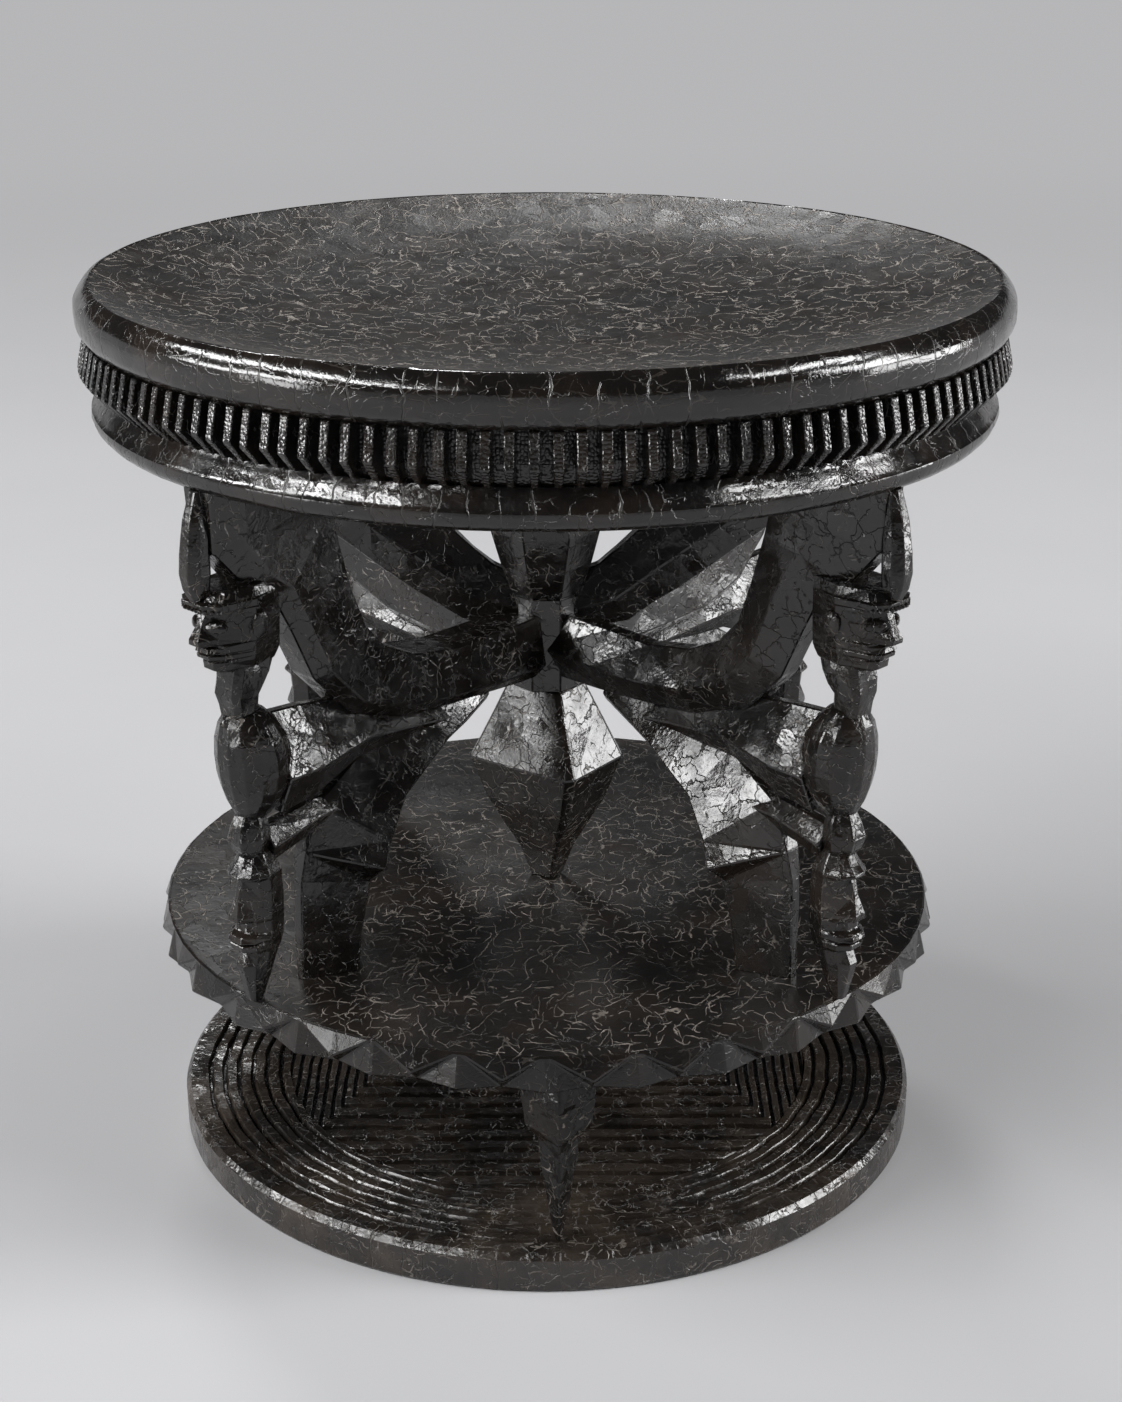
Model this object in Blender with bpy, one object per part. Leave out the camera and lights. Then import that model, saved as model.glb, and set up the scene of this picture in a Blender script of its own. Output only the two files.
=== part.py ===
"""A round carved stool: a dished seat over a ribbed band, four carved panels with standing
figures round a central post, a toothed middle disc, three short supports and a ridged base.

Metres, +Z up. The origin is the middle of the base's underside, and the front looks along -Y.
"""

from math import ceil, cos, pi, radians, sin

import bmesh
import bpy
from mathutils import Matrix, Vector

# Heights of the stool's storeys, from the floor up.
BASE_THICKNESS = 0.0193
UNDER_HEIGHT = 0.0869
MIDDLE_THICKNESS = 0.0161
OPENWORK_HEIGHT = 0.241
MOULDING_HEIGHT = 0.0183
BAND_HEIGHT = 0.0247
RIM_HEIGHT = 0.0227

# The seat's rim sets the radii: each round part is set in from what it carries or stands on.
SEAT_RADIUS = 0.215
RIM_WIDTH = 0.0095
BAND_INSET = 0.0005
BAND_WALL = 0.0185
MOULDING_INSET = 0.0053
SPINE_INSET = 0.0227
FIGURE_LEDGE = 0.0058
BASE_INSET = 0.0074
STRUT_LEDGE = 0.0046

# Base: a flat band round the rim, ring ridges, then straight ridges that run in nested frames.
RIM_BAND_WIDTH = 0.0090
RING_FIELD_WIDTH = 0.0424
RING_COUNT = 6
RIDGE_DEPTH = 0.0022
FRAME_HALF_LENGTH = 0.0828
FRAME_HALF_DEPTH = 0.0086
FRAME_SIDE_STEP = 0.0048
FRAME_FRONT_STEP = 0.0106
FRAME_SIDE_GROOVE = 0.0034
FRAME_FRONT_GROOVE = 0.0062
FRAME_MARGIN = 0.0012
GROOVE_OVERRUN = 0.0006
BASE_EDGE_ROUND = 0.0025

# Middle disc: its edge is chipped into triangles; each depth is taken in from its radius.
TOOTH_COUNT = 30
TOOTH_NOSE_HEIGHT = 0.0069
TOOTH_APEX_DEPTH = 0.0026
TOOTH_SLOPE_DEPTH = 0.0036
TOOTH_FOOT_DEPTH = 0.0010
NOTCH_DEPTH = 0.0040
LIP_HEIGHT = 0.0018
LIP_ROUND = 0.0012

# Short supports between base and middle disc.
STRUT_WIDTH = 0.0344
STRUT_DEPTH = 0.0280

# Seat: moulding, ribbed band and dish.
MOULDING_UNDERCUT = 0.0034
MOULDING_ROUND = 0.0045
RIB_COUNT = 142
RIB_RELIEF = 0.0038
BAND_TOP_INSET = 0.0034
BAND_FOOT_INSET = 0.0086
DISH_DEPTH = 0.0236
RIM_ROUND = 0.0060
RIM_CHAMFER = 0.0047
RIM_LEAN = 0.0012

# Limbs and figures of the panels.
CRADLE_ARM_WIDTH = 0.0538
CRADLE_ARM_THICKNESS = 0.0280
RAISED_ARM_WIDTH = 0.0352
RAISED_ARM_THICKNESS = 0.0215
LEG_WIDTH = 0.0500
LEG_THICKNESS = 0.0237
THIGH_WIDTH = 0.0495
THIGH_THICKNESS = 0.0344
BRACE_WIDTH = 0.0172
BRACE_THICKNESS = 0.0172
CREST_WIDTH = 0.0130
CREST_THICKNESS = 0.0118
HEAD_HEIGHT = 0.0385
HEAD_DEPTH = 0.0458
HEAD_WIDTH = 0.0290
HEAD_SETBACK = 0.0220
TORSO_WIDTH = 0.0185
TORSO_THICKNESS = 0.0180
BELLY_WIDTH = 0.0340
BELLY_THICKNESS = 0.0330
KNOT_WIDTH = 0.0158
KNOT_THICKNESS = 0.0155
LOWER_HEAD_WIDTH = 0.0230
LOWER_HEAD_THICKNESS = 0.0205

# Middle of the openwork.
HUB_RADIUS = 0.0165
STEM_RADIUS = 0.0330
PENDANT_RADIUS = 0.0372
PENDANT_CORNER_WIDTH = 0.0052

# Space between two elements where they meet, and how far a cutter runs past what it cuts.
JOINT_GAP = 0.0003
OVERRUN = 0.004

PANEL_COUNT = 4
FIRST_PANEL_ANGLE = radians(-135)
STRUT_COUNT = 3
PENDANT_CORNER_ANGLES = (radians(-72), 0.0, radians(90), radians(180))
FRONT_STRUT_ANGLE = radians(-88.3)
ROUND_SEGMENTS = 84
MERGE_DISTANCE = 1e-6
FLAT_ANGLE = radians(0.02)
SHARP_ANGLE = radians(28)

# Radii that follow from the seat's rim. The figures' spines stand on the spine radius.
BAND_RADIUS = SEAT_RADIUS - BAND_INSET
SEAT_CORE_RADIUS = BAND_RADIUS - BAND_WALL
DISH_RADIUS = SEAT_RADIUS - RIM_WIDTH
MOULDING_RADIUS = SEAT_RADIUS - MOULDING_INSET
SPINE_RADIUS = MOULDING_RADIUS - SPINE_INSET
MIDDLE_RADIUS = SPINE_RADIUS + FIGURE_LEDGE
BASE_RADIUS = MIDDLE_RADIUS - BASE_INSET
STRUT_FRONT_RADIUS = BASE_RADIUS - STRUT_LEDGE
HEAD_BACK_RADIUS = SPINE_RADIUS - HEAD_SETBACK

# Levels at which the storeys meet.
BASE_TOP = BASE_THICKNESS
MIDDLE_FOOT = BASE_TOP + UNDER_HEIGHT
MIDDLE_TOP = MIDDLE_FOOT + MIDDLE_THICKNESS
MOULDING_FOOT = MIDDLE_TOP + OPENWORK_HEIGHT
BAND_FOOT = MOULDING_FOOT + MOULDING_HEIGHT
BAND_TOP = BAND_FOOT + BAND_HEIGHT
SEAT_TOP = BAND_TOP + RIM_HEIGHT

# Limbs of a panel, each a row of stations: place outward from the axis (share of the spine
# radius), height in the openwork (share of its height), width and thickness (shares of the limb's).
CRADLE_ARM_SHARES = (
    (0.046, 0.527, 0.58, 0.77),
    (0.230, 0.527, 0.56, 0.85),
    (0.379, 0.528, 0.50, 0.92),
    (0.529, 0.541, 0.55, 0.92),
    (0.655, 0.578, 0.62, 0.92),
    (0.738, 0.648, 0.62, 0.92),
    (0.789, 0.741, 0.63, 0.92),
    (0.832, 0.826, 0.68, 0.92),
    (0.872, 0.872, 0.90, 0.92),
    (0.920, 0.925, 1.08, 0.92),
    (0.922, 1.030, 1.06, 1.00),
)
RAISED_ARM_SHARES = (
    (0.046, 0.594, 0.70, 0.92),
    (0.172, 0.625, 0.88, 0.96),
    (0.287, 0.692, 0.98, 1.00),
    (0.437, 0.777, 1.00, 1.00),
    (0.609, 0.880, 1.00, 1.00),
    (0.747, 0.960, 1.00, 1.00),
    (0.885, 1.053, 1.00, 1.00),
)
LEG_SHARES = (
    (0.253, 0.486, 0.44, 0.82),
    (0.420, 0.432, 0.50, 0.91),
    (0.600, 0.365, 0.72, 1.00),
    (0.705, 0.285, 1.00, 1.00),
    (0.748, 0.190, 0.83, 1.00),
    (0.768, 0.090, 0.69, 0.91),
    (0.780, -0.020, 0.60, 0.91),
)
THIGH_SHARES = (
    (0.322, 0.438, 0.26, 0.38),
    (0.483, 0.460, 0.39, 0.56),
    (0.667, 0.483, 0.59, 0.75),
    (0.828, 0.469, 0.87, 0.94),
    (0.943, 0.465, 1.00, 1.00),
)
BRACE_SHARES = (
    (0.644, 0.340, 0.90, 0.90),
    (0.805, 0.334, 0.85, 0.90),
    (0.954, 0.309, 1.00, 1.00),
)
CREST_SHARES = (
    (1.080, 1.030, 0.94, 0.94),
    (1.109, 0.920, 1.00, 1.00),
    (1.117, 0.857, 0.90, 0.94),
    (1.113, 0.800, 0.70, 0.80),
)
TORSO_SHARES = (
    (0.965, 0.735, 1.18, 0.80),
    (0.988, 0.660, 1.10, 1.00),
    (1.010, 0.615, 0.80, 0.95),
    (1.000, 0.545, 0.62, 0.70),
)
BELLY_SHARES = (
    (0.994, 0.582, 0.46, 0.48),
    (0.984, 0.550, 0.84, 0.86),
    (0.972, 0.492, 1.00, 1.00),
    (0.968, 0.436, 0.95, 0.95),
    (0.978, 0.395, 0.68, 0.70),
    (0.984, 0.371, 0.40, 0.42),
)
KNOT_SHARES = (
    (0.988, 0.395, 0.78, 0.78),
    (0.990, 0.355, 1.00, 1.00),
    (0.990, 0.325, 0.96, 0.96),
    (0.988, 0.285, 0.72, 0.72),
)
LOWER_HEAD_SHARES = (
    (0.986, 0.305, 0.50, 0.55),
    (0.982, 0.265, 0.84, 0.86),
    (0.978, 0.200, 1.00, 1.00),
    (0.980, 0.145, 0.92, 0.94),
    (0.990, 0.122, 0.96, 0.98),
    (0.986, 0.104, 0.66, 0.70),
    (0.990, 0.088, 0.82, 0.86),
    (0.994, 0.045, 0.70, 0.72),
    (1.004, -0.020, 0.34, 0.38),
)
# How far each limb's corners are cut back, as a share of its width and of its thickness.
LIMB_CORNER_SHARE = 0.42
FIGURE_CORNER_SHARE = 0.34

# Head, from chin to crown: height, reach of the face's ridge, reach of the cheeks (shares of the
# head's depth), half-width of the cheeks and of the sides (shares of half the head's width).
HEAD_SHARES = (
    (0.00, 0.74, 0.66, 0.30, 0.46),
    (0.12, 0.86, 0.76, 0.46, 0.66),
    (0.24, 0.93, 0.80, 0.56, 0.78),
    (0.33, 0.84, 0.80, 0.62, 0.84),
    (0.42, 1.00, 0.82, 0.68, 0.90),
    (0.70, 0.91, 0.80, 0.80, 0.98),
    (0.84, 0.88, 0.78, 0.84, 1.00),
    (0.88, 0.99, 0.92, 0.84, 1.00),
    (1.00, 0.95, 0.88, 0.78, 0.94),
)
HEAD_SIDE_SHARE = 0.45
HEAD_BACK_WIDTH_SHARE = 0.62
HEAD_FOOT_SHARE = 0.667

# Support, from its foot up: height, width and depth.
STRUT_SHARES = (
    (0.00, 0.22, 0.34),
    (0.27, 0.45, 0.55),
    (0.60, 0.85, 0.86),
    (0.82, 1.00, 1.00),
    (1.00, 0.94, 1.00),
)
STRUT_SIDE_SHARE = 0.38
STRUT_BACK_WIDTH_SHARE = 0.55

# Hub's foot and top in the openwork, then stem from the hub up and pendant from the hub down: radius
# and height.
HUB_FOOT_SHARE = 0.429
HUB_TOP_SHARE = 0.625
STEM_SHARES = ((0.50, 0.00), (0.65, 0.17), (0.79, 0.36), (0.84, 0.67), (1.00, 1.00))
PENDANT_SHARES = ((0.50, 1.00), (1.00, 0.626), (0.79, 0.418), (0.36, 0.148), (0.20, 0.00))

# Dish, from the middle outward: radius, and depth left.
DISH_SHARES = ((0.00, 1.00), (0.30, 0.95), (0.52, 0.83), (0.70, 0.64), (0.85, 0.38), (0.95, 0.13))
ROLL_SHARE = 0.3
KINK_SHARE = 0.38
RIB_TOP_WIDTH_SHARE = 0.50


def clear_scene():
    for item in list(bpy.data.objects):
        bpy.data.objects.remove(item)


def wood(name, colour, roughness):
    """One oiled, blackened wood for each kind of element."""
    material = bpy.data.materials.new(name)
    material.use_nodes = True
    shader = material.node_tree.nodes["Principled BSDF"]
    shader.inputs["Base Color"].default_value = (*colour, 1.0)
    shader.inputs["Roughness"].default_value = roughness
    shader.inputs["Metallic"].default_value = 0.0
    material.diffuse_color = (*colour, 1.0)
    return material


def mesh_from(form, name):
    """Closes a bmesh form into a mesh of triangles whose faces point out."""
    bmesh.ops.triangulate(form, faces=form.faces)
    bmesh.ops.recalc_face_normals(form, faces=form.faces)
    mesh = bpy.data.meshes.new(name)
    form.to_mesh(mesh)
    form.free()
    return mesh


def place(name, mesh, material, turn=0.0):
    """Adds one named element to the scene, turned about the stool's axis."""
    if not mesh.materials:
        mesh.materials.append(material)
    mesh.shade_smooth()
    mesh.set_sharp_from_angle(angle=SHARP_ANGLE)
    item = bpy.data.objects.new(name, mesh)
    item.rotation_euler.z = turn
    bpy.context.collection.objects.link(item)
    return item


def turned(profile, closed=False, segments=ROUND_SEGMENTS):
    """Spins (radius, height) points about the stool's axis."""
    form = bmesh.new()
    points = [form.verts.new((radius, 0.0, height)) for radius, height in profile]
    lines = [form.edges.new(pair) for pair in zip(points, points[1:])]
    if closed:
        lines.append(form.edges.new((points[-1], points[0])))
    bmesh.ops.spin(
        form,
        geom=points + lines,
        cent=(0.0, 0.0, 0.0),
        axis=(0.0, 0.0, 1.0),
        angle=2.0 * pi,
        steps=segments,
        use_merge=True,
    )
    bmesh.ops.remove_doubles(form, verts=form.verts, dist=MERGE_DISTANCE)
    return form


def stacked(rings):
    """Joins rings of equally many points into one closed form, with a flat cap at each end."""
    form = bmesh.new()
    loops = [[form.verts.new(point) for point in ring] for ring in rings]
    for lower, upper in zip(loops, loops[1:]):
        count = len(lower)
        for start in range(count):
            after = (start + 1) % count
            form.faces.new((lower[start], lower[after], upper[after], upper[start]))
    form.faces.new(list(reversed(loops[0])))
    form.faces.new(loops[-1])
    return form


def chamfered_corners(half_width, half_thickness, corner_share):
    """The eight corners of a rectangle with its four corners cut back."""
    near_width = half_width * (1.0 - corner_share)
    near_thickness = half_thickness * (1.0 - corner_share)
    quarter = [(half_width, near_thickness), (near_width, half_thickness)]
    points = quarter + [(-a, b) for a, b in reversed(quarter)]
    return points + [(-a, -b) for a, b in points]


def panel_height(share):
    return MIDDLE_TOP + share * OPENWORK_HEIGHT


def limb(shares, width, thickness, corner_share=LIMB_CORNER_SHARE):
    """A faceted limb through its stations, lying in the panel's plane."""
    places = [Vector((row[0] * SPINE_RADIUS, 0.0, panel_height(row[1]))) for row in shares]
    rings = []
    for number, row in enumerate(shares):
        before = places[max(number - 1, 0)]
        after = places[min(number + 1, len(places) - 1)]
        along = (after - before).normalized()
        across = Vector((along.z, 0.0, -along.x))
        corners = chamfered_corners(
            0.5 * width * row[2], 0.5 * thickness * row[3], corner_share
        )
        rings.append([places[number] + across * a + Vector((0.0, b, 0.0)) for a, b in corners])
    form = stacked(rings)
    trim_level(form, MIDDLE_TOP + JOINT_GAP, keep_above=True)
    trim_level(form, MOULDING_FOOT, keep_above=False)
    return form


def trim_level(form, level, keep_above):
    """Cuts a form off flat at a level and closes the cut."""
    normal = (0.0, 0.0, -1.0) if keep_above else (0.0, 0.0, 1.0)
    everything = form.verts[:] + form.edges[:] + form.faces[:]
    cut = bmesh.ops.bisect_plane(
        form, geom=everything, plane_co=(0.0, 0.0, level), plane_no=normal, clear_outer=True
    )
    rim = [item for item in cut["geom_cut"] if isinstance(item, bmesh.types.BMEdge)]
    if rim:
        bmesh.ops.edgeloop_fill(form, edges=rim)


def head_form():
    """A plain carved mask: chin, lips, wedge nose and brow ledge on a faceted skull."""
    foot = panel_height(HEAD_FOOT_SHARE)
    half = 0.5 * HEAD_WIDTH
    back = HEAD_BACK_RADIUS
    rings = []
    for height_share, ridge_share, cheek_share, cheek_width_share, side_width_share in HEAD_SHARES:
        level = foot + height_share * HEAD_HEIGHT
        ridge = back + ridge_share * HEAD_DEPTH
        cheek = back + cheek_share * HEAD_DEPTH
        side = back + HEAD_SIDE_SHARE * HEAD_DEPTH
        flank = [
            (cheek, half * cheek_width_share),
            (side, half * side_width_share),
            (back, half * side_width_share * HEAD_BACK_WIDTH_SHARE),
        ]
        outline = [(ridge, 0.0)] + flank + [(x, -y) for x, y in reversed(flank)]
        rings.append([(x, y, level) for x, y in outline])
    return stacked(rings)


def strut_form():
    """A spear-shaped support: a sharp ridge in front, pointed at the foot."""
    foot = BASE_TOP + JOINT_GAP
    height = UNDER_HEIGHT - 2.0 * JOINT_GAP
    rings = []
    for height_share, width_share, depth_share in STRUT_SHARES:
        half = 0.5 * STRUT_WIDTH * width_share
        depth = STRUT_DEPTH * depth_share
        front = STRUT_FRONT_RADIUS
        side = front - STRUT_SIDE_SHARE * depth
        flank = [(side, half), (front - depth, half * STRUT_BACK_WIDTH_SHARE)]
        outline = [(front, 0.0)] + flank + [(x, -y) for x, y in reversed(flank)]
        rings.append([(x, y, foot + height_share * height) for x, y in outline])
    return stacked(rings)


def octagon(radius, level):
    """An eight-sided ring whose flats face the panels and the quarters between them."""
    corner = radius / cos(pi / 8.0)
    angles = [pi / 8.0 + step * pi / 4.0 for step in range(8)]
    return [(corner * cos(angle), corner * sin(angle), level) for angle in angles]


def hub_form():
    foot = panel_height(HUB_FOOT_SHARE) + JOINT_GAP
    return stacked([octagon(HUB_RADIUS, foot), octagon(HUB_RADIUS, panel_height(HUB_TOP_SHARE))])


def stem_form():
    foot = panel_height(HUB_TOP_SHARE) + JOINT_GAP
    height = MOULDING_FOOT - foot
    return stacked([octagon(STEM_RADIUS * r, foot + z * height) for r, z in STEM_SHARES])


def pendant_form():
    """A spearhead with four broad faces, its blunt corners near the front and to the sides and back."""
    foot = MIDDLE_TOP + JOINT_GAP
    height = panel_height(HUB_FOOT_SHARE) - foot
    rings = []
    for radius_share, height_share in reversed(PENDANT_SHARES):
        reach = PENDANT_RADIUS * radius_share
        blunt = min(0.5 * PENDANT_CORNER_WIDTH, reach) * radius_share
        level = foot + height_share * height
        ring = []
        for angle in PENDANT_CORNER_ANGLES:
            outward = Vector((cos(angle), sin(angle), 0.0))
            sideways = Vector((-sin(angle), cos(angle), 0.0))
            for side in (-blunt, blunt):
                ring.append(outward * reach + sideways * side + Vector((0.0, 0.0, level)))
        rings.append(ring)
    return stacked(rings)


def base_profile():
    """Underside, rounded edge, flat rim band, then the ring ridges as a row of V grooves."""
    top = BASE_TOP
    ring_start = BASE_RADIUS - RIM_BAND_WIDTH
    step = RING_FIELD_WIDTH / RING_COUNT
    profile = [(0.0, 0.0), (BASE_RADIUS, 0.0), (BASE_RADIUS, top - BASE_EDGE_ROUND)]
    profile += [(BASE_RADIUS - BASE_EDGE_ROUND, top), (ring_start, top)]
    for ring in range(RING_COUNT):
        outer = ring_start - ring * step
        profile.append((outer - 0.5 * step, top - RIDGE_DEPTH))
        profile.append((outer - step, top))
    profile.append((0.0, top))
    return profile


def frame_cutter():
    """Nested straight-sided V grooves, as closed frames, kept inside the ring ridges."""
    form = bmesh.new()
    reach = BASE_RADIUS - RIM_BAND_WIDTH - RING_FIELD_WIDTH
    count = ceil((reach - FRAME_HALF_DEPTH) / FRAME_FRONT_STEP)
    for number in range(count):
        length = FRAME_HALF_LENGTH + number * FRAME_SIDE_STEP
        depth = FRAME_HALF_DEPTH + number * FRAME_FRONT_STEP
        add_groove(form, length, depth)
    return form


def add_groove(form, length, depth):
    """One frame of V section round a rectangle, wide side up."""
    side = 0.5 * FRAME_SIDE_GROOVE
    front = 0.5 * FRAME_FRONT_GROOVE
    lift = 1.0 + GROOVE_OVERRUN / RIDGE_DEPTH
    section = [(0.0, -RIDGE_DEPTH), (lift, GROOVE_OVERRUN), (-lift, GROOVE_OVERRUN)]
    loops = []
    for spread, drop in section:
        x = length + spread * side
        y = depth + spread * front
        corners = [(x, y), (-x, y), (-x, -y), (x, -y)]
        loops.append([form.verts.new((a, b, BASE_TOP + drop)) for a, b in corners])
    for first, second in ((0, 1), (1, 2), (2, 0)):
        for corner in range(4):
            after = (corner + 1) % 4
            ring = (loops[first][corner], loops[first][after])
            form.faces.new(ring + (loops[second][after], loops[second][corner]))


def middle_form():
    """A flat disc whose edge is cut into standing noses between two-faced triangular notches."""
    count = 2 * TOOTH_COUNT
    angles = [step * pi / TOOTH_COUNT - 0.5 * pi for step in range(count)]
    # Even steps are noses, odd steps are notches.
    foot_depths = (TOOTH_FOOT_DEPTH, NOTCH_DEPTH)
    lip_depths = (TOOTH_SLOPE_DEPTH, TOOTH_APEX_DEPTH)
    form = bmesh.new()

    def ring(depths, level):
        points = []
        for step, angle in enumerate(angles):
            radius = MIDDLE_RADIUS - depths[step % 2]
            points.append(form.verts.new((radius * cos(angle), radius * sin(angle), level)))
        return points

    foot = ring(foot_depths, MIDDLE_FOOT)
    lip = ring(lip_depths, MIDDLE_TOP - LIP_HEIGHT)
    top = ring([depth + LIP_ROUND for depth in lip_depths], MIDDLE_TOP)
    for step in range(0, count, 2):
        before = (step - 1) % count
        after = (step + 1) % count
        beyond = (step + 2) % count
        angle = angles[step]
        tip = (MIDDLE_RADIUS * cos(angle), MIDDLE_RADIUS * sin(angle))
        nose = form.verts.new((*tip, MIDDLE_FOOT + TOOTH_NOSE_HEIGHT))
        form.faces.new((lip[before], nose, lip[step]))
        form.faces.new((lip[step], nose, lip[after]))
        form.faces.new((lip[before], foot[step], nose))
        form.faces.new((nose, foot[step], lip[after]))
        form.faces.new((foot[step], foot[after], lip[after]))
        form.faces.new((foot[after], foot[beyond], lip[after]))
    for start in range(count):
        after = (start + 1) % count
        form.faces.new((lip[start], lip[after], top[after], top[start]))
    form.faces.new(list(reversed(foot)))
    form.faces.new(top)
    return form


def moulding_profile():
    foot = MOULDING_FOOT + JOINT_GAP
    edge = MOULDING_RADIUS
    return [
        (0.0, foot),
        (edge - MOULDING_UNDERCUT, foot),
        (edge, foot + MOULDING_ROUND),
        (edge, BAND_FOOT - MOULDING_ROUND),
        (edge - 0.5 * MOULDING_ROUND, BAND_FOOT),
        (0.0, BAND_FOOT),
    ]


def band_form():
    """A ring with bent ribs: they lean out from the top to a kink, then in to the foot."""
    foot = BAND_FOOT + JOINT_GAP
    kink = foot + KINK_SHARE * (BAND_TOP - foot)
    levels = [
        (BAND_RADIUS - BAND_FOOT_INSET, foot),
        (BAND_RADIUS, kink),
        (BAND_RADIUS - BAND_TOP_INSET, BAND_TOP),
    ]
    bore = (SEAT_CORE_RADIUS + JOINT_GAP) / cos(pi / ROUND_SEGMENTS)
    pitch = 2.0 * pi / RIB_COUNT
    rib_half = 0.5 * RIB_TOP_WIDTH_SHARE * pitch
    form = bmesh.new()
    loops = []
    for radius, level in levels:
        loop = []
        for rib in range(RIB_COUNT):
            angle = rib * pitch
            spots = [
                (angle - rib_half, radius),
                (angle + rib_half, radius),
                (angle + 0.5 * pitch, radius - RIB_RELIEF),
            ]
            loop += [form.verts.new((r * cos(a), r * sin(a), level)) for a, r in spots]
        loops.append(loop)
    inner = []
    for level in (foot, BAND_TOP):
        turn = 2.0 * pi / ROUND_SEGMENTS
        angles = [step * turn for step in range(ROUND_SEGMENTS)]
        inner.append([form.verts.new((bore * cos(a), bore * sin(a), level)) for a in angles])
    for lower, upper in (*zip(loops, loops[1:]), inner):
        for start in range(len(lower)):
            after = (start + 1) % len(lower)
            form.faces.new((lower[start], lower[after], upper[after], upper[start]))
    for outer, bored in ((loops[0], inner[0]), (loops[-1], inner[1])):
        ends = [ring_edge for loop in (outer, bored) for ring_edge in ring_edges(form, loop)]
        bmesh.ops.triangle_fill(form, use_beauty=True, use_dissolve=False, edges=ends)
    return form


def ring_edges(form, loop):
    return [form.edges.get((loop[k], loop[(k + 1) % len(loop)])) for k in range(len(loop))]


def seat_profile():
    """Underside of the core, shoulder over the ribs, rolled rim, then the dish inward."""
    core_foot = BAND_FOOT + JOINT_GAP
    shoulder = BAND_TOP + JOINT_GAP
    edge = SEAT_RADIUS
    roll = RIM_ROUND
    profile = [(0.0, core_foot), (SEAT_CORE_RADIUS, core_foot), (SEAT_CORE_RADIUS, shoulder)]
    profile += [
        (edge - RIM_CHAMFER, shoulder),
        (edge - RIM_LEAN, shoulder + RIM_CHAMFER),
        (edge, SEAT_TOP - roll),
        (edge - ROLL_SHARE * roll, SEAT_TOP - ROLL_SHARE * roll),
        (edge - roll, SEAT_TOP),
    ]
    for radius_share, depth_share in reversed(DISH_SHARES):
        profile.append((DISH_RADIUS * radius_share, SEAT_TOP - DISH_DEPTH * depth_share))
    return profile


def grown_copy(mesh):
    """A cutter: the same closed shape, pushed out on every face by the joint gap."""
    form = bmesh.new()
    form.from_mesh(mesh)
    form.normal_update()
    pushes = [vert.normal * vert.calc_shell_factor() * JOINT_GAP for vert in form.verts]
    for vert, push in zip(form.verts, pushes):
        vert.co += push
    cutter_mesh = bpy.data.meshes.new("cutter")
    form.to_mesh(cutter_mesh)
    form.free()
    return cutter_mesh


def combined(mesh, other_meshes, operation):
    """The mesh with the others taken out of it, or only what it shares with them."""
    body = bpy.data.objects.new("work", mesh)
    bpy.context.collection.objects.link(body)
    cutters = []
    for other_mesh in other_meshes:
        cutter = bpy.data.objects.new("cutter", other_mesh)
        cutter.hide_render = True
        cutter.display_type = "WIRE"
        bpy.context.collection.objects.link(cutter)
        step = body.modifiers.new("cut", "BOOLEAN")
        step.operation = operation
        step.solver = "EXACT"
        step.object = cutter
        cutters.append(cutter)
    graph = bpy.context.evaluated_depsgraph_get()
    result = bpy.data.meshes.new_from_object(body.evaluated_get(graph))
    for item in [body, *cutters]:
        bpy.data.objects.remove(item)
    return result


def cut(mesh, cutter_meshes):
    """Takes cutters out of a mesh and keeps the largest body that is left."""
    form = bmesh.new()
    form.from_mesh(combined(mesh, cutter_meshes, "DIFFERENCE"))
    bmesh.ops.remove_doubles(form, verts=form.verts, dist=MERGE_DISTANCE)
    bmesh.ops.dissolve_limit(
        form, angle_limit=FLAT_ANGLE, verts=form.verts, edges=form.edges
    )
    keep_largest(form)
    return mesh_from(form, mesh.name)


def keep_largest(form):
    """Drops slivers that a cut leaves apart from the main body."""
    unseen = set(form.verts)
    groups = []
    while unseen:
        front = [unseen.pop()]
        group = set(front)
        while front:
            for edge in front.pop().link_edges:
                for vert in edge.verts:
                    if vert in unseen:
                        unseen.discard(vert)
                        group.add(vert)
                        front.append(vert)
        groups.append(group)
    largest = max(groups, key=len)
    spare = [vert for vert in form.verts if vert not in largest]
    bmesh.ops.delete(form, geom=spare, context="VERTS")


def build_base(material):
    """The base: the nested frames are cut only inside a round field, clear of the rings."""
    reach = BASE_RADIUS - RIM_BAND_WIDTH - RING_FIELD_WIDTH - FRAME_MARGIN
    low = BASE_TOP - RIDGE_DEPTH - OVERRUN
    high = BASE_TOP + OVERRUN
    field = mesh_from(turned([(0.0, low), (reach, low), (reach, high), (0.0, high)]), "field")
    grooves = combined(mesh_from(frame_cutter(), "frames"), [field], "INTERSECT")
    disc = mesh_from(turned(base_profile()), "base_disc")
    place("base_disc", cut(disc, [grooves]), material)


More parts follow.
